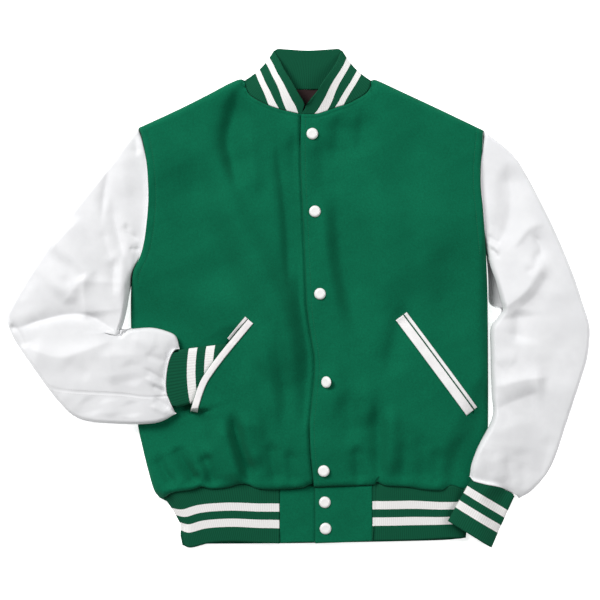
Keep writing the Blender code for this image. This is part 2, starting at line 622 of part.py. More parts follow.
def sleeve_points(table, arm_top, arm_under, cuff_seam, folds, side, under_inner=None):
    """Outer points of a sleeve's top and under piece, as rows from armhole to cuff."""
    across = np.concatenate([[0], ARMHOLE_STEPS])
    v = np.array(SLEEVE_STEPS)
    half = SEAM_GROOVE / 2
    rows = by_row(table, v)
    widths = np.full(len(v), SLEEVE_ROLL)
    pieces = []
    for upper in (True, False):
        sign = half if upper else -half
        outer = np.column_stack([rows[:, 0], rows[:, 1], rows[:, 4] + sign, widths])
        inner = np.column_stack([rows[:, 2], rows[:, 3], rows[:, 5] + sign, widths])
        if not upper and under_inner is not None:
            low = by_row(under_inner, v)
            inner = np.column_stack([low[:, 0], low[:, 1], np.minimum(low[:, 2], inner[:, 2]), widths])
        arm = (arm_top if upper else arm_under).copy()
        arm = np.column_stack([arm[:, :3], np.full(len(arm), ARMHOLE_ROLL)])
        seam = along(cuff_seam, across)
        lift = sleeve_lift(seam[:, 0], seam[:, 1], side)
        middle = smooth(np.minimum(across, 1 - across) / 0.12)
        edge_z = lift + CUFF_HEIGHT / 2 + sign + (CUFF_HEIGHT / 2) * (middle if upper else -middle)
        edge_z = np.maximum(edge_z, lift)
        seam = np.column_stack([seam[:, :2], edge_z, np.full(len(seam), CUFF_ROLL)])
        outer[-1, 2], inner[-1, 2] = seam[-1, 2], seam[0, 2]
        inner[0], outer[0] = arm[0], arm[-1]
        flat = coons(inner, outer, arm, seam, across, v)
        x, y = flat[..., 0], flat[..., 1]
        lift = sleeve_lift(x, y, side)
        crown = lift + rows[:, 6][:, None] + fold_height(x, y, folds) if upper else lift
        if upper:
            crown = np.maximum(crown, lift + LEAST_CROWN)
        points = rolled(flat, crown, ("left", "right", "bottom", "top"))
        if not upper:
            points[..., 2] = np.maximum(points[..., 2], 0)
        pieces.append(points)
    return pieces


def cuff_mesh(name, seam, end, start, side):
    """A flattened knit tube from the sleeve's seam to a straight end, as an open skin with a wall."""
    rings = len(CUFF_STEPS)
    angles = np.linspace(0, 2 * math.pi, CUFF_SIDES, endpoint=False)
    across = (1 - np.cos(angles)) / 2
    first, last = np.array(start, float)
    line = along(seam, across)[:, :2]
    ends = np.array(end, float)
    middle = smooth(np.minimum(across, 1 - across) / 0.16)[:, None]
    straight = first + (last - first) * across[:, None]
    begin = straight * (1 - middle) + line * middle
    axis = ends.mean(axis=0) - np.array([first, last]).mean(axis=0)
    axis /= np.hypot(*axis)
    begin = begin + axis * UNDER_SEAM_GAP
    finish = ends[0] + (ends[1] - ends[0]) * across[:, None]
    bm = bmesh.new()
    bmesh.ops.create_cone(bm, cap_ends=False, segments=CUFF_SIDES, radius1=1, radius2=1, depth=1)
    loops = [edge for edge in bm.edges if abs(edge.verts[0].co.z - edge.verts[1].co.z) > 0.5]
    bmesh.ops.subdivide_edges(bm, edges=loops, cuts=rings - 2, use_grid_fill=True)
    for vert in bm.verts:
        angle = math.atan2(vert.co.y, vert.co.x) % (2 * math.pi)
        spot = round(angle / (2 * math.pi) * CUFF_SIDES) % CUFF_SIDES
        share = CUFF_STEPS[round((vert.co.z + 0.5) * (rings - 1))]
        x, y = begin[spot] * (1 - share) + finish[spot] * share
        rise = math.copysign(abs(math.sin(angles[spot])) ** CUFF_ROUNDNESS, math.sin(angles[spot]))
        z = sleeve_lift(np.array(x), np.array(y), side) + CUFF_HEIGHT / 2 * (1 + rise)
        if side == "right":
            z -= CUFF_SETTLE * smooth((x - begin[spot][0]) / CUFF_SETTLE_WIDTH)
        vert.co = Vector((x, y, float(z))) * MM
    bm.normal_update()
    top = max(bm.faces, key=lambda face: face.calc_center_median().z)
    if top.normal.z < 0:
        bmesh.ops.reverse_faces(bm, faces=bm.faces)
    mesh = bpy.data.meshes.new(name)
    bm.to_mesh(mesh)
    bm.free()
    cuff = bpy.data.objects.new(name, mesh)
    wall = cuff.modifiers.new("wall", "SOLIDIFY")
    wall.thickness, wall.offset, wall.use_even_offset = KNIT_WALL * MM, -1, True
    return cuff


def strip_mesh(name, seam, edge, rows, wall, down=False):
    """A band of cloth between a seam line and a free edge, given point by point."""
    shares = np.asarray(rows, float)[:, None, None]
    points = seam[None] * (1 - shares) + edge[None] * shares
    return sheet_mesh(name, points, wall, down)


def collar_mesh(body):
    """The collar: front end, side fold, back, side fold, front end."""
    u = np.array(FRONT_STEPS, float)
    neck = body.right[-1, (u >= NECK_SHARE - 1e-6) & (u <= UNDERLAP_START + 1e-6)][::-1]
    right_seam = outward(neck, SEAM_GAP, left_hand=False)
    right_seam[0, 0] -= COLLAR_END_GAP
    right_edge = by_row(COLLAR_RIGHT_EDGE, np.linspace(0, 1, len(right_seam)))
    columns = body.left[-1]
    neck = columns[: len(columns) - int((u < NECK_SHARE - 1e-6).sum())]
    left_seam = outward(neck, SEAM_GAP, left_hand=True)
    left_seam[0, 0] += COLLAR_END_GAP
    left_edge = by_row(COLLAR_LEFT_EDGE, np.linspace(0, 1, len(left_seam)))
    shares = np.array(BACK_STEPS)
    first, last = BACK_NECK_SHARES
    back_neck = body.back[-1, (shares >= first - 1e-6) & (shares <= last + 1e-6)]
    back_seam = outward(back_neck, BACK_NECK_GAP, left_hand=True)
    back_edge = by_row(COLLAR_BACK_EDGE, np.linspace(0, 1, len(back_seam)))
    back_seam[0], back_seam[-1] = right_seam[-1], left_seam[-1]
    for corner in (back_seam[0], back_seam[-1]):
        corner[1] += NECK_CORNER_GAP
    seam = np.vstack([right_seam[:-1], back_seam, left_seam[:-1][::-1]])
    edge = np.vstack([right_edge[:-1], back_edge, left_edge[:-1][::-1]])
    return strip_mesh("collar", seam, edge, COLLAR_ROWS, KNIT_WALL, down=True)


def waistband(body):
    """The knit band and the two tabs, hung from the points of the panels' hems."""
    right_hem, left_hem = body.right[0][:, :3], body.left[0][:, :3]
    back_hem = body.back[0][:, :3]
    right_run = outward(between(right_hem, right_hem[0, 0], TAB_JOINT_RIGHT - SEAM_GAP), SEAM_GAP, False)
    left_run = outward(between(left_hem, TAB_JOINT_LEFT + SEAM_GAP, left_hem[-1, 0]), SEAM_GAP, False)
    back_run = outward(back_hem, SEAM_GAP, False)
    right_edge = along(WAIST_RIGHT_EDGE, edge_shares(right_run[::-1]))
    right_edge[0, 0] -= SEAM_GAP
    left_edge = along(WAIST_LEFT_EDGE, edge_shares(left_run))
    left_edge[0, 0] += SEAM_GAP
    back_edge = along(WAIST_BACK_EDGE, edge_shares(back_run))
    back_edge[:, 2] = np.maximum(back_edge[:, 2], 0)
    seam = np.vstack([right_run[::-1], back_run[1:-1], left_run[::-1]])
    edge = np.vstack([right_edge, back_edge[1:-1], left_edge[::-1]])
    band = strip_mesh("waistband_knit", seam, edge, WAIST_ROWS, KNIT_WALL)
    under_hem = outward(between(right_hem, TAB_JOINT_RIGHT, right_hem[-1, 0] - 1), SEAM_GAP, False)
    under_edge = along(TAB_RIGHT_EDGE, edge_shares(under_hem))
    upper_hem = outward(between(left_hem, left_hem[0, 0] + 1, TAB_JOINT_LEFT), SEAM_GAP, False)
    upper_edge = along(TAB_LEFT_EDGE, edge_shares(upper_hem))
    tab_rows = (0, 0.5, 1)
    right_tab = strip_mesh("waistband_tab_right", under_hem, under_edge, tab_rows, WOOL_WALL, down=True)
    left_tab = strip_mesh("waistband_tab_left", upper_hem, upper_edge, tab_rows, WOOL_WALL, down=True)
    return band, right_tab, left_tab, (upper_hem, upper_edge)


def edge_shares(line):
    """Shares of length along a row of points."""
    lengths = np.concatenate([[0], np.cumsum(np.hypot(*np.diff(line[:, :2], axis=0).T))])
    return lengths / lengths[-1]


def welt_mesh(name, slit, inner, outer, ends, height):
    """One lip of a pocket: a strip beside the slit, lying on the highest facets near it.

    inner and outer are its edges' distances from the slit, positive towards greater x;
    ends are the shares of the slit's length where it starts and stops.
    """
    line = along(slit, np.linspace(*ends, WELT_SPOTS))
    tangent = np.gradient(line, axis=0)
    tangent /= np.hypot(*tangent.T)[:, None]
    normal = np.stack([tangent[:, 1], -tangent[:, 0]], axis=1)
    rows = []
    for share in (0, 0.5, 1):
        places = line + normal * (inner + (outer - inner) * share)
        rows.append([(x, y, max(height(x + dx, y + dy) for dx, dy in WELT_FEELERS)) for x, y in places])
    points = np.array(rows)
    points[..., 2] += LAY_GAP + WELT_WALL
    return sheet_mesh(name, points, WELT_WALL, down=outer > inner)


def snap_mesh(number, x, y, height, lean):
    """A domed snap cap, turned about its own axis and seated on the placket."""
    radius = SNAP_DIAMETER / 2
    profile = [(0, 1.0), (0.45, 0.93), (0.8, 0.7), (0.97, 0.38), (1.0, 0.14), (0.93, 0.0), (0, 0.0)]
    mesh = bpy.data.meshes.new(f"snap_{number}")
    bm = bmesh.new()
    verts = [bm.verts.new((r * radius * MM, 0, h * SNAP_HEIGHT * MM)) for r, h in profile]
    for a, b in zip(verts, verts[1:]):
        bm.edges.new((a, b))
    bm.to_mesh(mesh)
    bm.free()
    cap = bpy.data.objects.new(f"snap_{number}", mesh)
    screw = cap.modifiers.new("turn", "SCREW")
    screw.steps = screw.render_steps = SNAP_SIDES
    screw.use_merge_vertices = True
    screw.merge_threshold = 0.00001
    tilt = math.radians(lean)
    rim = [(SNAP_SEAT * math.cos(a) * math.cos(tilt), SNAP_SEAT * math.sin(a))
           for a in np.linspace(0, 2 * math.pi, SNAP_SIDES, endpoint=False)]
    seat = max(height(x + dx, y + dy) - dx * math.tan(tilt) for dx, dy in [(0, 0), *rim])
    cap.location = (x * MM, y * MM, (seat + SNAP_GAP / math.cos(tilt)) * MM)
    cap.rotation_euler = (0, -tilt, 0)
    return cap


def lining_mesh(body):
    """The back neck lining, lying on the back panel below the neck seam."""
    line = along(BACK_NECK, np.linspace(0.12, 0.88, 9))[:, :2]
    rows = []
    for share in (0, 0.5, 1):
        inset = 4 + (LINING_DEPTH - 4) * share
        rows.append([(x, y - inset, WOOL_WALL + LAY_GAP + LINING_WALL) for x, y in line])
    points = np.array(rows[::-1])
    height = height_finder(body.back)
    for row in points:
        for spot in row:
            spot[2] += height(spot[0], spot[1])
    return sheet_mesh("lining_neck", points, LINING_WALL)


def material(name):
    """A Principled material from the table of colours."""
    found = bpy.data.materials.get(name)
    if found:
        return found
    colour, roughness, metallic = COLOURS[name]
    made = bpy.data.materials.new(name)
    made.use_nodes = True
    shader = made.node_tree.nodes["Principled BSDF"]
    shader.inputs["Base Color"].default_value = colour
    shader.inputs["Roughness"].default_value = roughness
    shader.inputs["Metallic"].default_value = metallic
    return made


def keep(thing, finish, collection):
    """Links an object, gives it its own material and shades it smooth."""
    collection.objects.link(thing)
    thing.data.materials.append(material(finish))
    thing.data.shade_smooth()


def main():
    clear_scene()
    collection = bpy.data.collections.new(OBJECT_NAME)
    bpy.context.scene.collection.children.link(collection)
    body = Body()

    keep(sheet_mesh("back", body.back, WOOL_WALL, down=True), "wool_green", collection)
    right = sheet_mesh("front_right", body.right, WOOL_WALL, False, body.right_slit, body.right_beyond)
    keep(right, "wool_green", collection)
    slit = (body.left_slit, body.left_beyond, body.left_column)
    left = sheet_mesh("front_left", body.left, WOOL_WALL, False, *slit)
    keep(left, "wool_green", collection)

    arm = body.arm_rows
    sleeves = {
        "right": (RIGHT_SLEEVE, RIGHT_CUFF_SEAM, RIGHT_SLEEVE_FOLDS, None),
        "left": (LEFT_SLEEVE, LEFT_CUFF_SEAM, LEFT_SLEEVE_FOLDS, LEFT_UNDER_INNER),
    }
    armholes = {
        "right": (body.right[arm, 0], body.back[arm, 0]),
        "left": (body.left[arm, -1], body.back[arm, -1]),
    }
    for side, (table, seam, folds, under_inner) in sleeves.items():
        top_edge, under_edge = armholes[side]
        top_edge = outward(top_edge, SEAM_GAP, left_hand=side == "right")
        under_edge = outward(under_edge, UNDER_SEAM_GAP, left_hand=side == "right")
        top, under = sleeve_points(table, top_edge, under_edge, seam, folds, side, under_inner)
        turned = side == "left"
        for name, points, down in (("top", top, turned), ("under", under, not turned)):
            piece = sheet_mesh(f"sleeve_{side}_{name}", points, SLEEVE_WALL, down)
            keep(piece, "sleeve_white", collection)

    right_cuff = cuff_mesh("cuff_right", RIGHT_CUFF_SEAM, RIGHT_CUFF_END, RIGHT_CUFF_START, "right")
    keep(right_cuff, "knit_green", collection)
    left_cuff = cuff_mesh("cuff_left", LEFT_CUFF_SEAM, LEFT_CUFF_END, LEFT_CUFF_START, "left")
    keep(left_cuff, "knit_green", collection)
    keep(collar_mesh(body), "knit_green", collection)
    band, right_tab, left_tab, upper_tab = waistband(body)
    keep(band, "knit_green", collection)
    keep(right_tab, "wool_green", collection)
    keep(left_tab, "wool_green", collection)
    keep(lining_mesh(body), "lining_maroon", collection)

    on_right = height_finder(body.right)
    on_beyond = height_finder(body.right_beyond)
    on_left = height_finder(body.left)
    on_tab = height_finder(np.stack([upper_tab[0][:, :3], upper_tab[1]]))
    heights = (on_beyond, on_right, on_left, on_left)
    for (name, slit, inner, outer, *ends), height in zip(WELTS, heights):
        keep(welt_mesh(name, slit, inner, outer, ends, height), "welt_white", collection)
    for number, (x, y, lean) in enumerate(SNAPS, start=1):
        height = on_left if y > TAB_TOP else on_tab
        keep(snap_mesh(number, x, y, height, lean), "snap_white", collection)


main()
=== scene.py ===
"""The looks of a varsity jacket laid flat on its back, fastened, its right forearm in its pocket.

Every cloth piece is a fine sheet on the form of its solid: edge curves give its outline and
seam heights, a crown and a table of folds give its surface, and Solidify gives its wall.
Tables are in millimetres: x across the jacket, y towards the collar, z up from the floor.
Right and left are the wearer's; the wearer's right is at negative x.
"""

from __future__ import annotations

import logging
import math
from collections.abc import Callable
from dataclasses import dataclass, field
from enum import Enum

import bmesh
import bpy
import numpy as np
from mathutils import Matrix, Vector
from mathutils.bvhtree import BVHTree


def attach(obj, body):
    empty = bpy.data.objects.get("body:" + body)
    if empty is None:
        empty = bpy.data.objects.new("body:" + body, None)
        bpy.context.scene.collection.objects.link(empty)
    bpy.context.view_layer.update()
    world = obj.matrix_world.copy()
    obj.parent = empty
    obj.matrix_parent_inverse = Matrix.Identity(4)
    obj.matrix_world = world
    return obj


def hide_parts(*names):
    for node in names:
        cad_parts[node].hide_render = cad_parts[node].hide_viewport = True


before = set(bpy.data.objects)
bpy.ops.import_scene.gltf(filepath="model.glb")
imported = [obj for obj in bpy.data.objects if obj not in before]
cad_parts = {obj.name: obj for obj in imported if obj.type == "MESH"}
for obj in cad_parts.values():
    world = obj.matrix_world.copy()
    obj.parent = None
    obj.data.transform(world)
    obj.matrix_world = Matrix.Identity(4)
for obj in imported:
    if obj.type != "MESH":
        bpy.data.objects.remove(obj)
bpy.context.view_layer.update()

Rows = tuple[tuple[float, ...], ...]
Array = np.ndarray
Numbers = float | np.ndarray
Height = Callable[[float, float], float]
Colour = tuple[float, float, float, float]

MM = 0.001
BODY = "root"
LOG = logging.getLogger("jacket")
# Stands in for zero in a division, and for rounding in a comparison
TINY = 1e-9
# Points closer than this are merged
MERGE_REACH = 0.01

# Camera: the width of floor that fills the view, and what its middle looks at
VIEW_WIDTH = 930.0
VIEW_CENTRE = (2.3, -2.3)
VIEW_HEIGHT = 3000.0
SENSOR = 36.0
FOCUS_HEIGHT = 25.0

# Walls and clearances
WOOL_WALL = 2.4
SLEEVE_WALL = 1.8
KNIT_WALL = 2.6
LINING_WALL = 0.8
WELT_WALL = 1.4
SEAM_GROOVE = 1.0
SEAM_GAP = 0.2
UNDER_SEAM_GAP = 0.6
BACK_NECK_GAP = 0.8
CUFF_GAP = 0.6

# Heights of the laid jacket, and the widths over which its fronts step and turn down
FRONT_CROWN = 31.0
SHOULDER_DROP = 7.0
HEM_DROP = 6.0
DRAPE_DEPTH = 1.4
UNDERLAP_DROP = 5.2
UNDERLAP_LEAD = 5.5
UNDERLAP_WIDTH = 39.0
PLACKET_TURN = 3.2
PLACKET_ROLL = 7.5
PRESSED_FRONT = 13.5
SLEEVE_LIFT = 15.0
LEAST_CROWN = 8.0
CUFF_HEIGHT = 14.0
OVER_CUFF = 32.0

# Soft waves that handled cloth keeps: size, height and seed of each set
WOOL_WAVES: Rows = ((90, 1.3, 0.6), (38, 0.35, 2.1))
SLEEVE_WAVES: Rows = ((70, 0.6, 1.7), (26, 0.1, 0.4))
TAB_WAVES: Rows = ((40, 0.4, 2.2),)
LINING_WAVES: Rows = ((26, 0.3, 0.9),)
# Every set runs in this many directions. Each is turned and shifted from the one before, and its
# pitch is the first share of the set's size and one more of the second
WAVE_DIRECTIONS = 6
WAVE_TURN = 1.13
WAVE_PITCHES = (0.7, 0.25)
WAVE_SHIFT = 2.7

# Shares along a body panel's height and a front's width
UNDERARM_SHARE = 0.56
NECK_SHARE = 0.55
UNDERLAP_START = 0.87
POCKET_SHARE = 0.38
BACK_NECK_SHARES = (0.31, 0.69)
EDGE_REACH = 0.14
# How much of the spacing along the shoulders and neck goes by x
TOP_STRAIGHT = 0.7

# Body edges: x, y, height of the seam, width over which the cloth rolls down to it
RIGHT_SIDE: Rows = (
    (-217, -310, 8, 18), (-225.5, -297.6, 8, 20), (-234.4, -267.4, 8, 22),
    (-243.2, -231.7, 8, 22), (-250.6, -196.1, 8, 20), (-256, -150, 7, 14),
    (-260, -95, 7, 14), (-261.2, -45.7, 7, 16), (-261.5, -10, 8, 20), (-261, 18, 8, 16),
)
RIGHT_ARMHOLE: Rows = (
    (-261, 18, 8, 14), (-258.5, 38, 15, 9), (-253.6, 50.4, 20, 7), (-244.7, 68.2, 23, 6),
    (-238.7, 92.2, 25, 6), (-235, 121.7, 25, 6), (-232.8, 151.1, 25, 6), (-233.4, 180.9, 24, 6),
    (-235.8, 210.6, 22, 6), (-241.8, 243.2, 17, 7), (-248.8, 266, 9, 9),
)
LEFT_SIDE: Rows = (
    (270, -299, 8, 18), (281, -288, 8, 20), (290, -258, 8, 18), (294.5, -225, 7, 16),
    (295.6, -188.3, 7, 16), (295.6, -120, 8, 20), (295.2, -48.8, 8, 22), (294.5, 10, 8, 20),
    (292.5, 66, 8, 16),
)
LEFT_ARMHOLE: Rows = (
    (292.5, 66, 8, 14), (290.2, 86, 18, 8), (288.5, 106.8, 23, 6), (285.5, 142.4, 25, 6),
    (282.6, 172.1, 25, 6), (282.6, 204.6, 24, 6), (285.6, 235, 18, 7), (288, 262, 9, 9),
)
RIGHT_SHOULDER: Rows = (
    (-248.8, 266, 9, 22), (-190, 293, 9.6, 22), (-140, 318, 9.6, 20), (-112, 333, 9.5, 18),
    (-92, 341.5, 9.3, 22), (-84, 339.5, 9.3, 24),
)
RIGHT_NECK: Rows = (
    (-84, 339.5, 9.8, 24), (-81.5, 326, 13.5, 20), (-72.7, 314.3, 17.5, 13), (-50.4, 301.8, 21, 7),
    (-29.8, 294.2, 22, 5), (-11.6, 289.7, 22, 5), (4.8, 286.2, 21.5, 5),
)
LEFT_NECK: Rows = (
    (4, 286.2, 24.5, 5), (27.1, 286.3, 23.5, 5), (40.8, 290.2, 22.5, 5), (58.7, 296.8, 21, 5),
    (74.7, 301.8, 20, 7), (93.5, 311.6, 18, 11), (105.9, 320.1, 15.5, 15), (112.6, 330.9, 12.5, 21),
    (112.8, 339.5, 9.8, 24),
)
LEFT_SHOULDER: Rows = (
    (112.8, 339.5, 9.3, 24), (122, 340, 9.3, 22), (160, 322.5, 9.5, 20), (220, 294.5, 9.6, 22),
    (288, 262, 9, 22),
)
RIGHT_HEM: Rows = (
    (-217, -310, 8, 18), (-208, -309.5, 11, 14), (-195.8, -301.9, 16.5, 9), (-166.2, -297.6, 16.5, 9),
    (-151.3, -293.1, 16.5, 9), (-136.4, -296.1, 16.5, 9), (-112.7, -294.5, 16.5, 9),
    (-91.9, -288.6, 16.5, 9), (-77.2, -290.2, 16.5, 9), (-62.3, -296.1, 16.5, 9),
    (-29.8, -297.6, 12, 12), (6, -295, 11.5, 10), (20, -289.5, 11.5, 10), (63, -287.5, 11.5, 10),
)
LEFT_HEM: Rows = (
    (24, -293.7, 16.5, 8), (60, -292, 16.5, 9), (115, -290.2, 15, 11), (120.9, -285.7, 14, 12),
    (135.6, -291.6, 16.5, 9), (168.2, -293.1, 16.5, 9), (195.1, -297.6, 16.5, 9),
    (221.8, -298.4, 16.5, 9), (236.4, -290.2, 16.5, 9), (254.4, -296.1, 11, 12), (270, -299, 8, 14),
)
FRONT_EDGE: Rows = (
    (24, -293.7), (23.1, -282.9), (18.6, -237.9), (17.2, -193.8), (20.2, -163.5), (24.5, -119.7),
    (24.5, -89.9), (17.2, -45.7), (12.7, -10.1), (11.2, 28.7), (7.6, 110), (3.9, 191.4), (3.2, 240),
    (4, 286.2),
)
UNDERLAP_TOP: Rows = ((14, 283, 19, 8), (26, 283, 18, 8), (41, 286.5, 17, 8))
BACK_RIGHT_ARMHOLE: Rows = (
    (-261, 18, 8, 12), (-262, 34, 2, 12), (-258, 60, 0, 12), (-250, 95, 0, 12), (-243, 140, 0, 12),
    (-240, 190, 0, 12), (-244, 235, 2, 12), (-248.8, 266, 9, 12),
)
BACK_LEFT_ARMHOLE: Rows = (
    (292.5, 66, 8, 12), (294, 84, 2, 12), (293, 110, 0, 12), (290, 150, 0, 12), (288, 190, 0, 12),
    (287, 232, 2, 12), (288, 262, 9, 12),
)
BACK_HEM: Rows = (
    (-217, -310, 8, 14), (-200, -306, 2, 14), (-150, -302, 0, 14), (0, -301, 0, 14),
    (200, -301, 0, 14), (255, -301, 2, 14), (270, -299, 8, 14),
)
BACK_NECK: Rows = (
    (-84, 339.5, 9.3, 10), (-70, 333, 3.2, 10), (-40, 327.5, 0, 10), (14, 325.3, 0, 10),
    (70, 327.5, 0, 10), (98, 333, 3.2, 10), (112.8, 339.5, 9.3, 10),
)

# Pockets: the line of each slit, lower end first
RIGHT_SLIT: Rows = (
    (-169, -180), (-166, -168), (-158, -142), (-148, -120), (-125, -88), (-98, -55), (-77, -30),
)
LEFT_SLIT: Rows = ((272.2, -172.6), (244.8, -135.7), (217.4, -98.7), (190, -61.8), (162.5, -24.8))
# How the cloth turns down under the right pocket's lip
LIP_TURN = 1.4
LIP_WIDTH = 4.0
LIP_FADE = 0.05
# How a welt's edges roll down, and its height over the cloth
WELT_ROLL = 1.3
WELT_LIFT = 0.5

# Sleeves: one row for each section from armhole to cuff.
# outer x, y; inner x, y; height of the outer and inner fold; crown above the lift
RIGHT_SLEEVE: Rows = (
    (-249.0, 266.2, -261.3, 18.0, 9, 8, 24), (-272, 239, -262.6, 10, 12, 11, 28),
    (-296.8, 204.6, -264, 1, 14, 13, 32), (-355.9, 130.5, -266.5, -14.7, 15, 14, 36),
    (-412.3, 47.3, -270.5, -33.3, 15, 15, 38), (-446, -9, -276, -50, 15, 16, 38),
    (-452.9, -32, -278, -56, 15, 17, 38), (-444, -60, -275, -57, 15, 17, 38),
    (-414.6, -104.6, -263.5, -48.5, 15, 18, 37), (-374.3, -158.9, -241, -45.4, 15, 22, 34),
    (-340, -187.5, -225, -45.4, 15, 23, 31), (-284.4, -194.8, -207, -49.6, 17, 23, 27),
    (-222.4, -193.3, -190.5, -58.1, 21, 22, 21), (-189.9, -179, -184.5, -77.5, 20.5, 20.5, 14),
)
LEFT_SLEEVE: Rows = (
    (288.3, 262.2, 292.8, 66.0, 9, 8, 24), (328.6, 228.6, 297, 54, 13, 14, 28),
    (352.3, 196.1, 300.5, 43, 14, 17, 32), (393.7, 115.5, 307, 24, 15, 19, 36),
    (426.4, 38.6, 314, -4, 15, 19, 38), (441.5, -7, 317, -18, 15, 18, 38),
    (450.5, -35, 309, -30, 15, 15, 38), (452.8, -56, 299.0, -46, 15, 14, 38),
    (449, -92, 298.8, -80, 15, 14, 37), (441, -119.7, 299.3, -114, 15, 14, 36),
    (429.4, -155.2, 300.6, -150, 15, 15, 34), (417.7, -190.8, 301, -185.2, 15, 17, 31),
    (393.7, -259, 279.8, -227.1, 15, 21, 27), (365, -297, 269, -255, 13, 21, 22),
    (343.3, -311.6, 265.8, -275, 7, 20.5, 14),
)
LEFT_UNDER_INNER: Rows = (
    (292.8, 66, 7.7), (295.2, 45, 4), (296.4, 20, 3), (297, -4, 3), (303, -12, 4), (315, -18, 13),
    (309, -30, 15), (299, -46, 14), (298.8, -80, 14), (299.3, -114, 14), (300.6, -150, 15),
    (301, -185.2, 17), (279.8, -227.1, 21), (269, -255, 21), (265.8, -275, 20.5),
)
RIGHT_CUFF_SEAM: Rows = (
    (-184.5, -77.5), (-193.8, -80), (-201.7, -95.3), (-206.2, -119.7), (-206.2, -143.4),
    (-200.3, -161), (-194.5, -173), (-189.9, -179),
)
LEFT_CUFF_SEAM: Rows = (
    (265.8, -275), (272, -281.3), (287, -285.7), (307.7, -290.2), (325.5, -299), (339, -306),
    (343.3, -311.6),
)
# How the sleeves' edges roll down to their seams and folds, and how slowly their tops rise
SLEEVE_ROLL = 7.0
SLEEVE_DOME = 0.22
DOME_REACH = 78.0
SLEEVE_SETTLE = 4.0
ARMHOLE_ROLL = 9.0
CUFF_ROLL = 6.0
# Share of a sleeve's end over which its height opens from each fold
END_OPENING = 0.12

# Cuffs: straight start and end lines, from the corner beside the sleeve's inner fold
RIGHT_CUFF_START: Rows = ((-186, -79.5), (-190.8, -169.5))
RIGHT_CUFF_END: Rows = ((-103, -69), (-108, -149))
LEFT_CUFF_START: Rows = ((266.4, -282.5), (337, -307.5))
LEFT_CUFF_END: Rows = ((231.6, -344.9), (300.4, -387.3))

# The right cuff's stripes run straight up the jacket with a slight bow about their middle
CUFF_STRIPE_START = -103.0
CUFF_STRIPE_BOW = 3.0
CUFF_STRIPE_MIDDLE = -114.0
CUFF_STRIPE_HALF = 38.0
# Share of a cuff's round that follows the straight start line at each fold
CUFF_BLEND = 0.16
CUFF_FULLNESS = 0.55
CUFF_SINK = 0.7

# Collar: free edge from the front end round to the side fold
COLLAR_RIGHT_EDGE: Rows = (
    (9.2, 300.6, 26), (7, 305.5, 28), (0.5, 315.4, 30), (-6.7, 327.8, 30), (-14, 341, 28),
    (-22.5, 355, 24), (-29, 369, 17), (-36, 382, 9), (-38.5, 386.5, 5),
)
COLLAR_LEFT_EDGE: Rows = (
    (13, 298, 28), (16.3, 301.5, 30), (21.7, 309.2, 31), (29.9, 320.9, 31), (36.4, 331.7, 31),
    (45, 344.9, 28), (53.5, 357.3, 24), (60.5, 369.7, 17), (65.5, 382, 9), (68.5, 386.5, 5),
)
COLLAR_BACK_EDGE: Rows = (
    (-38.5, 386.5, 5), (-32, 389.5, 1), (-20, 389, 0), (15, 387, 0), (50, 389, 0), (62, 389.5, 1),
    (68.5, 386.5, 5),
)

# How the collar's ribs fan out along the neck seam, and how full every rib is
RIB_FAN = 1.23
RIB_FULLNESS = 0.7
# The free edge is drawn on past each front tip, in the direction of its last few points
TIP_REACH = 60.0
TIP_SPAN = 4
# Distances from the free edge at the front tips, and the pattern's distances that come there
TIP_PATTERN = (0.0, 12.0, 21.0, 34.4, 43.0, 73.4)
TIP_RIGHT = (0.0, 14.5, 29.8, 37.6, 49.6, 80.0)
TIP_LEFT = (0.0, 17.3, 29.6, 35.9, 45.5, 80.0)
# How far the side folds are drawn in, and in which direction
COLLAR_BOW = 4.4
COLLAR_BOW_REACH = 30.0
COLLAR_BOW_AIM = (0.75, 0.66)

# Waistband: free edge
WAIST_RIGHT_EDGE: Rows = (
    (-29.8, -381.5, 12), (-62.3, -380.5, 12), (-100.9, -378.5, 12), (-136.4, -380.5, 12),
    (-166.2, -387.7, 12), (-181, -385, 5),
)
WAIST_LEFT_EDGE: Rows = (
    (115, -377.4, 12), (120, -377.6, 12), (180.6, -376.2, 12), (233.3, -373.2, 12),
    (252, -373.2, 10), (261, -373.2, 5),
)
WAIST_BACK_EDGE: Rows = (
    (-181, -385, 5), (-170, -385, 0.6), (-150, -383, 0), (0, -382, 0), (200, -378, 0),
    (250, -375, 0.6), (261, -373.2, 5),
)
# How far the right side fold is drawn in, by share of the band's height from the seam
FOLD_BOW: Rows = ((0, 0), (0.08, 9), (0.25, 11.6), (0.4, 12.4), (0.57, 13), (0.8, 4), (1, 0))
FOLD_BOW_REACH = 58.0
WAIST_STRETCH = 0.1
TAB_JOINT_RIGHT = -29.8
TAB_JOINT_LEFT = 115.0
TAB_RIGHT_EDGE: Rows = ((-29.8, -381.5, 10.5), (2.3, -379.9, 10.5), (61, -379.9, 10.5))
TAB_LEFT_EDGE: Rows = ((26, -381, 15), (70, -379.5, 15), (115, -377.4, 14.5))
# Above this y a snap sits on the front, below it on the tab
TAB_TOP = -290.0
# How the tabs' edges roll down
TAB_ROLL = 3.0
TAB_TURN = 1.2
# How far short of its front's edge a tab ends
TAB_INSET = 1.0

# Snaps: x, y, lean towards the wearer's right in degrees
SNAPS: Rows = (
    (21.4, 255.3, 0), (25.4, 134.7, 0), (33.2, 7.3, 4), (43.0, -129.1, 34),
    (39.1, -267.1, 8), (40.9, -316.8, 0), (42.0, -357.7, 0),
)
# A cap's half profile as shares of its radius and rise
SNAP_PROFILE: Rows = (
    (0.0, 0.93), (0.2, 0.94), (0.4, 0.965), (0.52, 1.0), (0.66, 0.985), (0.78, 0.88), (0.87, 0.7),
    (0.93, 0.5), (0.965, 0.36), (0.99, 0.26), (1.0, 0.15), (0.985, 0.05), (0.94, 0.0), (0.0, 0.0),
)
# Radius at which a cap is seated on the cloth, and its gap to it
SNAP_SEAT = 8.4
SNAP_GAP = 0.1

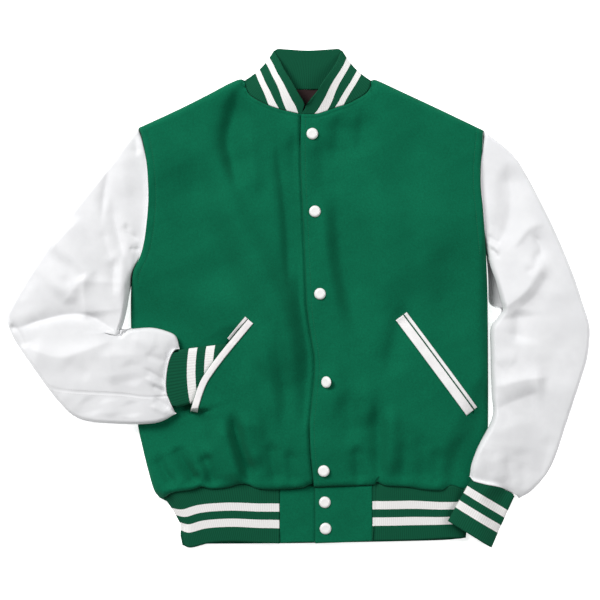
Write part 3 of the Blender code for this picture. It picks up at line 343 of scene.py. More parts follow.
# Topstitches: distance of each row from its edge or seam
PLACKET_STITCH = 7.2
ARMHOLE_STITCH = 11.5
NECK_STITCH = 6.0
FOREARM_STITCH = 3.2
# Which of the closely spaced points of the forearm's seam carry stitches
FOREARM_RUN = slice(14, -20)
# Spacing of the points that a row follows, and its height over the cloth
STITCH_SPACING = 3.0
STITCH_LIFT = 0.05
# Depth of the groove that each row or seam pulls into the cloth
ARMHOLE_DENT = 0.6
NECK_DENT = 0.7
PLACKET_DENT = 0.35
SEAM_DENT = 0.8


def smooth(share: Numbers) -> Numbers:
    """Eases a share from 0 to 1."""
    share = np.clip(share, 0, 1)
    return share * share * (3 - 2 * share)


def fading(share: Numbers, fade: float) -> Numbers:
    """1 along a run, easing to 0 over a share of it at both of its ends."""
    return smooth(np.minimum(share, 1 - share) / fade)


@dataclass(frozen=True)
class Ramp:
    """An eased rise from 0 at the start to 1 a reach away; a negative reach rises downwards."""

    start: float
    reach: float

    def at(self, place: Numbers) -> Numbers:
        """Its value at a place."""
        return smooth((place - self.start) / self.reach)


# Where the body's crown falls off, by y
SHOULDER_FALL = Ramp(130, 170)
HEM_FALL = Ramp(-222, -72)
# Where the underlap steps down, by distance past the front edge
UNDERLAP_STEP = Ramp(-UNDERLAP_LEAD, UNDERLAP_LEAD - 1)
# The right pocket: its mouth by share of the slit's height, and the cloth by distance past the slit
MOUTH_START = Ramp(0, 0.07)
MOUTH_END = Ramp(1, -0.05)
PAST_MOUTH = Ramp(0, 42)
# Where the body lifts the undersides of the sleeves, by x and by y
RIGHT_LIFT = (Ramp(-304, 38), Ramp(-20, -26))
LEFT_LIFT = (Ramp(348, -44), Ramp(-140, -40))
# How far the left one's lift is shifted beside the waistband
BAND_SHIFT = 28.0
BAND_RAMP = Ramp(-268, -50)
# Where the tops of the sleeves are lifted
RIGHT_TOP_LIFT = (Ramp(-352, 130), Ramp(0, -90))
LEFT_TOP_LIFT = (Ramp(382, -110), Ramp(-90, -120))
# Where the right cuff sinks into the pocket, the collar's stripes reach the tips' own spacing,
# and the waistband's stripes are spread
CUFF_SINKING = Ramp(-190, 60)
TIP_STRIPES = Ramp(352, -64)
WAIST_STRETCHED = Ramp(170, 80)


def roll(distance: Numbers, width: Numbers) -> Numbers:
    """Height share of cloth that rolls down to an edge over a width, like a quarter ellipse."""
    share = np.clip(distance / np.maximum(width, TINY), 0, 1)
    return np.sqrt(1 - (1 - share) ** 2)


def steps(count: int, crowding: float, *exact: float) -> Array:
    """Shares from 0 to 1 that crowd towards both ends.

    Args:
        count: How many shares.
        crowding: 0 for even steps, near 1 for very small steps at the ends.
        exact: Shares that have to be among them.

    Returns:
        The shares, rising.
    """
    even = np.linspace(0, 1, count)
    shares = even - crowding * np.sin(2 * np.pi * even) / (2 * np.pi)
    for share in exact:
        shares[np.abs(shares - share).argmin()] = share
    return shares


@dataclass(frozen=True)
class Line:
    """A smooth curve through a short table of rows, every column carried along."""

    rows: Rows
    spans: int = 12

    def dense(self) -> Array:
        """Closely spaced points of the Catmull-Rom curve."""
        rows = np.array(self.rows, float)
        padded = np.vstack([2 * rows[0] - rows[1], rows, 2 * rows[-1] - rows[-2]])
        t = np.linspace(0, 1, self.spans, endpoint=False)[:, None]
        pieces = [
            0.5 * (2 * b + (c - a) * t + (2 * a - 5 * b + 4 * c - d) * t**2 + (3 * b - a - 3 * c + d) * t**3)
            for a, b, c, d in zip(padded, padded[1:], padded[2:], padded[3:])
        ]
        return np.vstack([*pieces, rows[-1:]])

    def plan(self) -> Array:
        """The x and y of its closely spaced points."""
        return self.dense()[:, :2]

    def along(self, shares: Array, straight: float = 0.0) -> Array:
        """Points at shares of its length, or partly of its reach across.

        Args:
            shares: Shares from 0 to 1.
            straight: How much of the spacing goes by x instead of by length.

        Returns:
            One row for each share.
        """
        line = self.dense()
        lengths = lengths_along(line)
        reach = (line[:, 0] - line[0, 0]) / (line[-1, 0] - line[0, 0]) if straight else 0
        places = (1 - straight) * lengths / lengths[-1] + straight * reach
        return np.stack([np.interp(shares, places, column) for column in line.T], axis=1)

    def by_row(self, shares: Array) -> Array:
        """Points at shares of its row count."""
        line = self.dense()
        places = np.linspace(0, 1, len(line))
        return np.stack([np.interp(shares, places, column) for column in line.T], axis=1)

    def raised(self, change: float) -> Line:
        """The same line with its heights, the third column, raised."""
        return Line(tuple((row[0], row[1], row[2] + change, *row[3:]) for row in self.rows))


def lengths_along(line: Array) -> Array:
    """Distance in plan from a line's first point to each of its points."""
    return np.concatenate([[0], np.cumsum(np.hypot(*np.diff(line[:, :2], axis=0).T))])


def resampled(line: Array, count: int) -> Array:
    """A row of points spread evenly along a line."""
    lengths = lengths_along(line)
    wanted = np.linspace(0, lengths[-1], count)
    return np.stack([np.interp(wanted, lengths, column) for column in line.T], axis=1)


def chained(first: Line, second: Line, joint: float, shares: Array, straight: float = 0.0) -> Array:
    """Points of two lines end to end; the second starts at the share joint."""
    low = first.along(shares[shares <= joint] / joint, straight)
    high = second.along((shares[shares > joint] - joint) / (1 - joint), straight)
    return np.vstack([low, high])


def outward(line: Array, gap: float, left_hand: bool) -> Array:
    """A row of points moved sideways by a gap, to the left or right of its direction."""
    tangent = np.gradient(line[:, :2], axis=0)
    tangent /= np.maximum(np.hypot(*tangent.T), TINY)[:, None]
    normal = np.stack([-tangent[:, 1], tangent[:, 0]], axis=1) * (1 if left_hand else -1)
    moved = line.copy()
    moved[:, :2] += normal * gap
    return moved


def nearest(x: Array, y: Array, line: Array) -> tuple[Array, Array, Array]:
    """How each point lies to a line of points.

    Args:
        x: Places across.
        y: Places up.
        line: Points in rows; columns after x and y are carried along.

    Returns:
        Its distance, positive on the left of the line's direction and negative on the right;
        the share of the line's length where it is nearest; the carried columns there.
    """
    lengths = lengths_along(line)
    best = np.full(x.shape, np.inf)
    side = np.ones_like(x)
    share = np.zeros_like(x)
    carried = np.zeros((*x.shape, line.shape[1] - 2))
    for index in range(len(line) - 1):
        a, b = line[index], line[index + 1]
        dx, dy = b[0] - a[0], b[1] - a[1]
        t = np.clip(((x - a[0]) * dx + (y - a[1]) * dy) / max(dx * dx + dy * dy, TINY), 0, 1)
        away = np.hypot(x - a[0] - t * dx, y - a[1] - t * dy)
        closer = away < best
        best = np.where(closer, away, best)
        side = np.where(closer, np.sign(dx * (y - a[1]) - dy * (x - a[0])), side)
        share = np.where(closer, (lengths[index] + t * (lengths[index + 1] - lengths[index])), share)
        if carried.shape[-1]:
            carried = np.where(closer[..., None], a[2:] + t[..., None] * (b[2:] - a[2:]), carried)
    return best * np.where(side == 0, 1, side), share / lengths[-1], carried


# Share of its width that a fold keeps at its ends, how many widths it reaches to each side, and
# the number of spans between two points of its path
NARROWED = 0.45
FOLD_REACH = 3
FOLD_SPANS = 6


@dataclass(frozen=True)
class Fold:
    """A soft trough or ridge along a path, which fades out at both ends.

    Args:
        path: Points x, y of its crest.
        height: Height of its crest; a trough is negative.
        left: Half-width on the left of the path's direction.
        right: Half-width on the right; 0 for the same as the left one.
        cusp: 2 for a round crest, near 1 for a sharp one.
        fade: Share of the path over which each end fades.
    """

    path: Rows
    height: float
    left: float
    right: float = 0.0
    cusp: float = 2.0
    fade: float = 0.3

    def rise(self, x: Array, y: Array) -> Array:
        """Its height at each point."""
        line = Line(self.path, FOLD_SPANS).dense() if len(self.path) > 2 else np.array(self.path, float)
        reach = FOLD_REACH * max(self.left, self.right)
        low, high = line[:, :2].min(axis=0) - reach, line[:, :2].max(axis=0) + reach
        near = (x > low[0]) & (x < high[0]) & (y > low[1]) & (y < high[1])
        total = np.zeros_like(x)
        if near.any():
            away, share, _ = nearest(x[near], y[near], line)
            width = np.where(away >= 0, self.left, self.right or self.left)
            ends = fading(share, self.fade)
            width = width * (NARROWED + (1 - NARROWED) * ends)
            total[near] = self.height * ends * np.exp(-((np.abs(away) / width) ** self.cusp))
        return total


def folded(x: Array, y: Array, folds: tuple[Fold, ...]) -> Array:
    """Sum of the folds at each point."""
    total = np.zeros_like(x)
    for fold in folds:
        total = total + fold.rise(x, y)
    return total


def unevenness(x: Array, y: Array, waves: Rows) -> Array:
    """Soft waves in many directions.

    Args:
        x: Places across.
        y: Places up.
        waves: Size, height and seed of each set of waves.

    Returns:
        The height at each point.
    """
    total = np.zeros_like(x)
    for size, height, seed in waves:
        for turn in range(WAVE_DIRECTIONS):
            angle = seed + turn * WAVE_TURN
            pitch = size * (WAVE_PITCHES[0] + WAVE_PITCHES[1] * turn)
            forward = x * math.cos(angle) + y * math.sin(angle)
            total += np.sin(forward * 2 * np.pi / pitch + seed * turn * WAVE_SHIFT) * height / 3
    return total


@dataclass(frozen=True)
class Press:
    """A place about a straight line: 1 within its reach, falling to 0 over its fade."""

    ends: Rows
    reach: float
    fade: float

    def at(self, x: Array, y: Array) -> Array:
        """Its value at each point."""
        away, _, _ = nearest(x, y, np.array(self.ends, float))
        return 1 - smooth((np.abs(away) - self.reach) / self.fade)


PRESSES = (
    Press(((-300, -120), (-212, -120)), 78, 92),
    Press(((-200, -124), (-125, -114)), 46, 50),
    Press(((356, -190), (318, -275)), 62, 44),
    Press(((304, -300), (266, -366)), 42, 40),
)
# Where the cloth stands up over the right cuff, past the pocket's mouth
CUFF_BULGE = Press(((-160, -124), (-110, -114)), 44, 30)


def pressed(x: Array, y: Array) -> Array:
    """How far the front is pressed down by the sleeves and cuffs that lie on it, 0 to 1."""
    return np.max([press.at(x, y) for press in PRESSES], axis=0)


@dataclass(frozen=True)
class Groove:
    """A shallow groove that stitches pull into cloth at a distance from a line."""

    line: Array
    distance: float
    depth: float
    width: float = 1.6
    fade: float = 0.01

    def press(self, points: Array) -> None:
        """Lowers the points of a sheet along it."""
        away, share, _ = nearest(points[..., 0], points[..., 1], self.line[:, :2])
        near = np.exp(-(((np.abs(away) - self.distance) / self.width) ** 2))
        points[..., 2] -= self.depth * fading(share, self.fade) * near


class Side(Enum):
    """The wearer's side that a piece belongs to."""

    RIGHT = "right"
    LEFT = "left"


def sleeve_lift(x: Array, y: Array, side: Side) -> Array:
    """How far a sleeve's underside is lifted by the body it lies on."""
    across, up = RIGHT_LIFT if side is Side.RIGHT else LEFT_LIFT
    if side is Side.LEFT:
        x = x + BAND_SHIFT * BAND_RAMP.at(y)
    return SLEEVE_LIFT * across.at(x) * up.at(y)


def top_lift(x: Array, y: Array, side: Side) -> Array:
    """How far a sleeve's top is lifted: its cloth spans the body's edge instead of following it."""
    across, up = RIGHT_TOP_LIFT if side is Side.RIGHT else LEFT_TOP_LIFT
    return SLEEVE_LIFT * across.at(x) * up.at(y)


def softened(line: Array, rounds: int = 90) -> Array:
    """A row of points with its kinks smoothed out and its ends kept."""
    soft = line.copy()
    for _ in range(rounds):
        soft[1:-1] = (soft[:-2] + 2 * soft[1:-1] + soft[2:]) / 4
    return soft


def coons(left: Array, right: Array, bottom: Array, top: Array, u: Array, v: Array) -> Array:
    """Points of a patch between four edges; left and right run up, bottom and top run across.

    Kinks of the bottom and top fade out within EDGE_REACH of the height.
    """
    across, up = u[None, :, None], v[:, None, None]
    soft_bottom, soft_top = softened(bottom), softened(top)
    ruled = (1 - across) * left[:, None] + across * right[:, None]
    ruled = ruled + (1 - up) * soft_bottom[None] + up * soft_top[None]
    low = (1 - across) * bottom[0] + across * bottom[-1]
    high = (1 - across) * top[0] + across * top[-1]
    kinks = smooth(1 - up / EDGE_REACH) * (bottom - soft_bottom)
    kinks = kinks + smooth(1 - (1 - up) / EDGE_REACH) * (top - soft_top)
    return ruled - (1 - up) * low - up * high + kinks


def rolled(flat: Array, crown: Array, edges: tuple[str, ...], dome: float = 0.0) -> Array:
    """Points of a patch that rises from its seams to a crown.

    Args:
        flat: Rows and columns of x, y, seam height and roll width.
        crown: Height away from the edges.
        edges: Which edges roll: left, right, bottom or top.
        dome: Share of the rise at the left and right edges that comes slowly, over DOME_REACH.

    Returns:
        Rows and columns of x, y and z.
    """
    x, y, seam = flat[..., 0], flat[..., 1], flat[..., 2]
    lines = {"left": flat[:, 0], "right": flat[:, -1], "bottom": flat[0], "top": flat[-1]}
    rise = np.ones_like(x)
    for name in edges:
        away, _, carried = nearest(x, y, lines[name])
        quick = roll(np.abs(away), carried[..., 1])
        if dome and name in ("left", "right"):
            slow = 1 - (1 - np.clip(np.abs(away) / DOME_REACH, 0, 1)) ** 2
            quick = quick * (1 - dome + dome * slow)
        rise = rise * quick
    return np.stack([x, y, seam + (crown - seam) * rise], axis=2)


def keep_above(points: Array, least: float = 0.0) -> None:
    """Lifts the points that lie below a height to it."""
    points[..., 2] = np.maximum(points[..., 2], least)


def turned_down(strip: Array, width: float) -> Array:
    """Share of its full height that a strip has where its four edges roll down over a width."""
    share = np.ones(strip.shape[:2])
    for edge in (strip[:, 0], strip[:, -1], strip[0], strip[-1]):
        away, _, _ = nearest(strip[..., 0], strip[..., 1], edge[:, :2])
        share = share * roll(np.abs(away), width)
    return share


def normals_of(points: Array, down: bool) -> Array:
    """Unit normals of a grid of points."""
    across, up = np.gradient(points, axis=1), np.gradient(points, axis=0)
    normal = np.cross(across, up)
    normal /= np.maximum(np.linalg.norm(normal, axis=2, keepdims=True), TINY)
    return -normal if down else normal


def cut_size(points: Array) -> tuple[float, float, float]:
    """Width, length and area in metres of the cloth that a grid of points shows."""
    across = np.linalg.norm(np.diff(points, axis=1), axis=2)
    up = np.linalg.norm(np.diff(points, axis=0), axis=2)
    wide, long = across.sum(axis=1).max(), up.sum(axis=0).max()
    first = np.cross(points[:-1, 1:] - points[:-1, :-1], points[1:, :-1] - points[:-1, :-1])
    second = np.cross(points[1:, :-1] - points[1:, 1:], points[:-1, 1:] - points[1:, 1:])
    area = (np.linalg.norm(first, axis=2) + np.linalg.norm(second, axis=2)).sum() / 2
    return wide * MM, long * MM, min(area, wide * long) * MM * MM


def linked(name: str, data: bpy.types.ID) -> bpy.types.Object:
    """A new object with that data, linked to the scene."""
    thing = bpy.data.objects.new(name, data)
    bpy.context.scene.collection.objects.link(thing)
    return thing


def smooth_mesh(name: str, bm: bmesh.types.BMesh) -> bpy.types.Object:
    """A linked object with a smooth-shaded mesh; the bmesh is freed."""
    mesh = bpy.data.meshes.new(name)
    bm.to_mesh(mesh)
    bm.free()
    mesh.shade_smooth()
    return linked(name, mesh)


# Narrowest cut, in metres, that a sheet can be declared with
NARROWEST_CUT = 0.0101


@dataclass
class Slit:
    """A cut down one column of a sheet, between two rows."""

    column: int
    rows: list[int]
    beyond: Array


@dataclass
class Sheet:
    """A cloth wall whose outer face has the given points, in millimetres."""

    name: str
    points: Array
    wall: float
    down: bool = False
    closed: bool = False
    slit: Slit | None = None
    pattern: Array | None = None

    def lay(
        self, finish: bpy.types.Material, node: str, slot: str
    ) -> bpy.types.Object:
        piece = publish(self.build(), finish, node, slot)
        wide, long, area = cut_size(self.points)
        flat = (max(wide, NARROWEST_CUT), max(long, NARROWEST_CUT))
        return piece

    def build(self) -> bpy.types.Object:
        """Makes the mesh object, with its pattern places in a UV map and a live wall."""
        rows, columns = self.points.shape[:2]
        bm = bmesh.new()
        bmesh.ops.create_grid(bm, x_segments=columns - 1, y_segments=rows - 1, size=0.5)
        for vert in bm.verts:
            across = round((vert.co.x + 0.5) * (columns - 1))
            up = round((vert.co.y + 0.5) * (rows - 1))
            vert.co = (across, up, 0)
        if self.slit:
            self.part(bm)
        if self.down:
            bmesh.ops.reverse_faces(bm, faces=bm.faces)
        mesh = bpy.data.meshes.new(self.name)
        bm.to_mesh(mesh)
        bm.free()
        spots = np.empty(len(mesh.vertices) * 3)
        mesh.vertices.foreach_get("co", spots)
        spots = spots.reshape(-1, 3)
        across, up = spots[:, 0].round().astype(int), spots[:, 1].round().astype(int)
        placed = self.points[up, across].copy()
        if self.slit:
            past = spots[:, 2] > 0.5
            placed[past] = self.slit.beyond[up[past], across[past]]
        self.map_pattern(mesh, across, up)
        mesh.vertices.foreach_set("co", (placed * MM).ravel())
        mesh.update()
        if self.closed:
            self.weld(mesh)
        mesh.shade_smooth()
        cloth = linked(self.name, mesh)
        wall = cloth.modifiers.new("wall", "SOLIDIFY")
        wall.thickness = self.wall * MM
        wall.offset = -1
        return cloth

    def part(self, bm: bmesh.types.BMesh) -> None:
        """Splits the grid down the slit and marks what lies past it by a height of 1."""
        column, first, last = self.slit.column, self.slit.rows[0], self.slit.rows[-1]
        line = {v for v in bm.verts if round(v.co.x) == column and first <= round(v.co.y) <= last}
        cut = [edge for edge in bm.edges if edge.verts[0] in line and edge.verts[1] in line]
        bmesh.ops.split_edges(bm, edges=cut)
        for vert in bm.verts:
            at = round(vert.co.x)
            if at == column:
                centres = [face.calc_center_median().x for face in vert.link_faces]
                vert.co.z = 1 if sum(centres) / len(centres) > column + 0.1 else 0
            elif at > column:
                vert.co.z = 1

    def map_pattern(self, mesh: bpy.types.Mesh, across: Array, up: Array) -> None:
        """Writes the pattern places, in metres, to a UV map."""
        pattern = self.pattern
        if pattern is None:
            gap_across = np.linalg.norm(np.diff(self.points, axis=1), axis=2).mean(axis=0)
            gap_up = np.linalg.norm(np.diff(self.points, axis=0), axis=2).mean(axis=1)
            wide, long = np.append(0, np.cumsum(gap_across)), np.append(0, np.cumsum(gap_up))
            pattern = np.stack(np.meshgrid(wide, long), axis=2)
        layer = mesh.uv_layers.new(name="cloth")
        corners = np.empty(len(mesh.loops), int)
        mesh.loops.foreach_get("vertex_index", corners)
        layer.data.foreach_set("uv", (pattern[up, across][corners] * MM).ravel())

    def weld(self, mesh: bpy.types.Mesh) -> None:
        """Closes the sheet into a tube by merging its first and last columns."""
        bm = bmesh.new()
        bm.from_mesh(mesh)
        bmesh.ops.remove_doubles(bm, verts=bm.verts, dist=MERGE_REACH * MM)
        bm.to_mesh(mesh)
        bm.free()


# Heights well above the jacket and about its middle, from which a surface is looked for
ABOVE = 200.0
MIDWAY = 30.0


def heights_over(grid: Array) -> Height:
    """A function that gives the height of a grid of points at x, y."""
    rows, columns = grid.shape[:2]
    places = [Vector(place) for place in grid.reshape(-1, 3)]
    index = np.arange(rows * columns).reshape(rows, columns)
    quads = np.stack([index[:-1, :-1], index[:-1, 1:], index[1:, 1:], index[1:, :-1]], axis=2)
    tree = BVHTree.FromPolygons(places, [tuple(quad) for quad in quads.reshape(-1, 4).tolist()])

    def height(x: float, y: float) -> float:
        """Height at one place."""
        hit = tree.ray_cast(Vector((x, y, ABOVE)), Vector((0, 0, -1)))[0]
        if hit is None:
            hit = tree.find_nearest(Vector((x, y, MIDWAY)))[0]
        return hit.z

    return height


# -------------------------------------------------- finishes


class Value:
    """A socket's value, on which Python's operators add Math nodes."""

    def __init__(self, graph: Graph, socket: bpy.types.NodeSocket | float) -> None:
        """Wraps one output socket."""
        self.graph = graph
        self.socket = socket

    def __add__(self, other: Value | float) -> Value:
        """Sum."""
        return self.graph.math("ADD", self, other)

    def __mul__(self, other: Value | float) -> Value:
        """Product."""
        return self.graph.math("MULTIPLY", self, other)

    def __sub__(self, other: Value | float) -> Value:
        """Difference."""
        return self.graph.math("SUBTRACT", self, other)

    def __rsub__(self, other: float) -> Value:
        """Difference from a number."""
        return self.graph.math("SUBTRACT", other, self)

    def __truediv__(self, other: Value | float) -> Value:
        """Quotient."""
        return self.graph.math("DIVIDE", self, other)

    def __gt__(self, other: Value | float) -> Value:
        """1 where it is greater."""
        return self.graph.math("GREATER_THAN", self, other)


class Graph:
    """A material's node tree, with one Principled shader."""

    def __init__(self, name: str, **sockets: object) -> None:
        """Starts a material with the shader's sockets set as in dress."""
        self.material = bpy.data.materials.new(name)
        self.material.use_nodes = True
        self.nodes = self.material.node_tree.nodes
        self.links = self.material.node_tree.links
        self.shader = self.nodes["Principled BSDF"]
        self.dress(**sockets)

    def add(self, kind: str, settings: dict | None = None, **inputs: object) -> bpy.types.Node:
        """Adds a node.

        Args:
            kind: Its type, without the ShaderNode in front.
            settings: Its own properties, set first.
            inputs: Values or links of its sockets, by name or by i and a number.

        Returns:
            The node.
        """
        node = self.nodes.new("ShaderNode" + kind)
        for key, value in (settings or {}).items():
            setattr(node, key, value)
        for key, value in inputs.items():
            number = key[1:] if key.startswith("i") and key[1:].isdigit() else None
            socket = node.inputs[int(number)] if number else node.inputs[key.replace("_", " ")]
            self.feed(socket, value)
        return node

    def feed(self, socket: bpy.types.NodeSocket, value: object) -> None:
        """Sets a socket, or links it where the value comes from a node."""
        if isinstance(value, Value):
            value = value.socket
        if isinstance(value, bpy.types.NodeSocket):
            self.links.new(value, socket)
        else:
            socket.default_value = value

    def math(self, operation: str, first: object, second: object = 0.0) -> Value:
        """A Math node."""
        return Value(self, self.add("Math", {"operation": operation}, i0=first, i1=second).outputs[0])

    def place(self, kind: str = "Object") -> bpy.types.NodeSocket:
        """Object or UV coordinates."""
        return self.add("TexCoord").outputs[kind]

    def noise(self, place: object, scale: float, detail: float = 2.0, rough: float = 0.5) -> Value:
        """Noise from 0 to 1."""
        node = self.add("TexNoise", None, Vector=place, Scale=scale, Detail=detail, Roughness=rough)
        return Value(self, node.outputs[0])

    def between(self, value: Value, low: float, high: float) -> Value:
        """The share of a value between two limits, eased and clamped."""
        node = self.add("MapRange", {"interpolation_type": "SMOOTHSTEP"}, i0=value, i1=low, i2=high)
        return Value(self, node.outputs[0])

    def mix(self, share: object, first: object, second: object) -> bpy.types.NodeSocket:
        """A colour between two."""
        node = self.add("Mix", {"data_type": "RGBA"}, i0=share, i6=first, i7=second)
        return node.outputs[2]

    def bump(self, height: Value, depth: float, strength: float = 1.0) -> None:
        """Feeds a Bump node of that depth in millimetres to the shader's Normal."""
        node = self.add("Bump", None, Strength=strength, Distance=depth * MM, Height=height)
        self.links.new(node.outputs[0], self.shader.inputs["Normal"])

    def dress(self, **sockets: object) -> bpy.types.Material:
        """Sets or links the shader's sockets, by name, and returns the material."""
        for name, value in sockets.items():
            self.feed(self.shader.inputs[name.replace("_", " ")], value)
        return self.material


@dataclass(frozen=True)
class WoolFinish:
    """Felted melton: matt, slightly mottled, with a short nap."""

    name: str = "green_wool"
    dark: Colour = (0.0022, 0.082, 0.040, 1)
    light: Colour = (0.0042, 0.146, 0.072, 1)
    nap: float = 1300.0
    mottle: float = 420.0
    patches: float = 18.0

    def make(self) -> bpy.types.Material:
        """The material."""
        graph = Graph(self.name, Sheen_Weight=0.02, Sheen_Roughness=0.5, Specular_IOR_Level=0.03)
        place = graph.place()
        nap = graph.noise(place, self.nap, 3.0, 0.6)
        mottle = graph.noise(place, self.mottle, 3.0, 0.55)
        patches = graph.noise(place, self.patches)
        tone = nap * 0.65 + mottle * 0.65 + patches * 0.30 - 0.30
        colour = graph.mix(graph.between(tone, 0.1, 0.9), self.dark, self.light)
        graph.bump(nap * 0.7 + mottle * 0.4, 0.35, 0.5)
        return graph.dress(Base_Color=colour, Roughness=graph.between(mottle, 0.2, 0.9) * 0.1 + 0.82)


@dataclass(frozen=True)
class CoatedFinish:
    """Leather-like coated cloth: soft low sheen and a fine pebbled grain."""

    name: str
    shade: Colour = (0.705, 0.708, 0.722, 1)
    bright: Colour = (0.772, 0.775, 0.788, 1)
    grain: float = 950.0
    crinkle: float = 70.0
    patches: float = 12.0

    def make(self) -> bpy.types.Material:
        """The material."""
        graph = Graph(self.name, Specular_IOR_Level=0.22)
        place = graph.place()
        cells = graph.add("TexVoronoi", {"feature": "DISTANCE_TO_EDGE"}, Vector=place, Scale=self.grain)
        pebbles = graph.between(Value(graph, cells.outputs[0]), 0.0, 0.35)
        crinkle = graph.noise(place, self.crinkle, 3.0)
        patches = graph.noise(place, self.patches)
        colour = graph.mix(graph.between(crinkle * 0.3 + patches * 0.7, 0.3, 0.7), self.shade, self.bright)
        graph.bump(pebbles * 0.10 + crinkle * 0.9, 0.5, 0.30)
        return graph.dress(Base_Color=colour, Roughness=graph.between(crinkle, 0.2, 0.8) * 0.14 + 0.52)


@dataclass(frozen=True)
class KnitFinish:
    """Rib knit, with stripes across the ribs given by their distances from the free edge, and painted shade
    in the valleys between ribs and stitch rows.
    """

    name: str
    stripes: tuple[tuple[float, float], ...]
    pitch: float = 3.0
    row_pitch: float = 1.7
    fuzz: float = 1500.0
    # Ground colour: painted shade in the rib valleys, lighter on the rib tops
    dark: Colour = (0.0045, 0.060, 0.030, 1)
    light: Colour = (0.0060, 0.088, 0.043, 1)
    # Stripe colour on the rib tops, and painted shade in the rib valleys
    stripe: Colour = (0.82, 0.815, 0.80, 1)
    stripe_valley_shade: Colour = (0.72, 0.70, 0.69, 1)

    def make(self) -> bpy.types.Material:
        """The material."""
        graph = Graph(self.name, Sheen_Weight=0.02, Specular_IOR_Level=0.04)
        split = graph.add("SeparateXYZ", None, Vector=graph.place("UV"))
        across, up = Value(graph, split.outputs[0]), Value(graph, split.outputs[1])
        turn = across * (2 * math.pi / (self.pitch * MM))
        rib = graph.math("COSINE", turn) * 0.5 + 0.5
        fuzz = graph.noise(graph.place(), self.fuzz, rough=0.6)
        leg = graph.math("ABSOLUTE", graph.math("SINE", turn)) * 0.35
        stitch = graph.math("SINE", (up / (self.row_pitch * MM) + leg) * (2 * math.pi)) * 0.5 + 0.5
        # Painted shade: darker in the rib valleys and between stitch rows, with random fuzz mixed in
        shade = graph.between(rib * 0.75 + stitch * 0.15 + fuzz * 0.35, 0.1, 1.0)
        ground = graph.mix(shade, self.dark, self.light)
        pale = graph.mix(shade, self.stripe_valley_shade, self.stripe)
        wobble = up + (leg + fuzz) * (0.9 * MM)
        mask: Value | None = None
        for low, high in self.stripes:
            band = (wobble > low * MM) * (1.0 - (wobble > high * MM))
            mask = band if mask is None else mask + band
        colour = ground if mask is None else graph.mix(mask, ground, pale)
        graph.bump(stitch * 0.5 + fuzz * 0.5, 0.35, 0.45)
        return graph.dress(Base_Color=colour, Roughness=fuzz * 0.1 + 0.82)


@dataclass(frozen=True)
class PlainFinish:
    """A nearly even finish, such as a cap's or a thread's, with a trace of wear."""

    name: str
    colour: Colour
    roughness: float
    specular: float = 0.5
    coat: float = 0.0
    grain: float = 500.0
    relief: float = 0.02
    contrast: float = 0.12

    def make(self) -> bpy.types.Material:
        """The material."""
        graph = Graph(self.name, Specular_IOR_Level=self.specular, Coat_Weight=self.coat)
        wear = graph.noise(graph.place(), self.grain, 3.0)
        darker = tuple(part * (1 - self.contrast) for part in self.colour[:3]) + (1,)
        graph.bump(wear, self.relief * 10, 0.3)
        colour = graph.mix(graph.between(wear, 0.25, 0.75), darker, self.colour)
        return graph.dress(Base_Color=colour, Roughness=wear * 0.12 + (self.roughness - 0.06))


@dataclass(frozen=True)
class Finishes:
    """All of the jacket's materials."""

    wool: bpy.types.Material
    sleeve: bpy.types.Material
    welt: bpy.types.Material
    cuff_right: bpy.types.Material
    cuff_left: bpy.types.Material
    collar: bpy.types.Material
    waist: bpy.types.Material
    inside: bpy.types.Material
    cap: bpy.types.Material
    lining: bpy.types.Material
    green_thread: bpy.types.Material
    white_thread: bpy.types.Material

    @staticmethod
    def make() -> Finishes:
        """Makes every finish once."""
        maroon = (0.032, 0.015, 0.015, 1)
        return Finishes(
            wool=WoolFinish().make(),
            sleeve=CoatedFinish("white_coated").make(),
            welt=CoatedFinish("white_welt", (0.72, 0.69, 0.69, 1), (0.85, 0.84, 0.84, 1)).make(),
            cuff_right=KnitFinish("knit_cuff_right", ((27.5, 40.8), (54.3, 67.5)), 2.8).make(),
            cuff_left=KnitFinish("knit_cuff_left", ((25.0, 37.7), (50.5, 63.0)), 2.8).make(),
            collar=KnitFinish("knit_collar", ((12, 21), (34.4, 43)), 2.8).make(),
            waist=KnitFinish("knit_waist", ((24.5, 37.5), (50.3, 63)), 3.0).make(),
            inside=KnitFinish("knit_inside", ()).make(),
            cap=PlainFinish("white_cap", (0.86, 0.85, 0.84, 1), 0.22, 0.5, 0.4, contrast=0.03).make(),
            lining=PlainFinish("maroon_lining", maroon, 0.55, 0.2, grain=900).make(),
            green_thread=PlainFinish("green_thread", (0.006, 0.120, 0.055, 1), 0.6).make(),
            white_thread=PlainFinish("white_thread", (0.66, 0.64, 0.64, 1), 0.6).make(),
        )


def publish(
    piece: bpy.types.Object, finish: bpy.types.Material, node: str, slot: str
) -> bpy.types.Object:
    """Gives a finished piece its material and body, and hides the solid that it stands for.

    Args:
        piece: The object.
        finish: Its material.
        node: The solid it replaces; empty for none.
        slot: Not used.

    Returns:
        The same object.
    """
    piece.data.materials.clear()
    piece.data.materials.append(finish)
    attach(piece, BODY)
    if node:
        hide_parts(node)
    LOG.info("%s: %d faces before its wall", piece.name, len(piece.data.polygons))
    return piece


# -------------------------------------------------- body

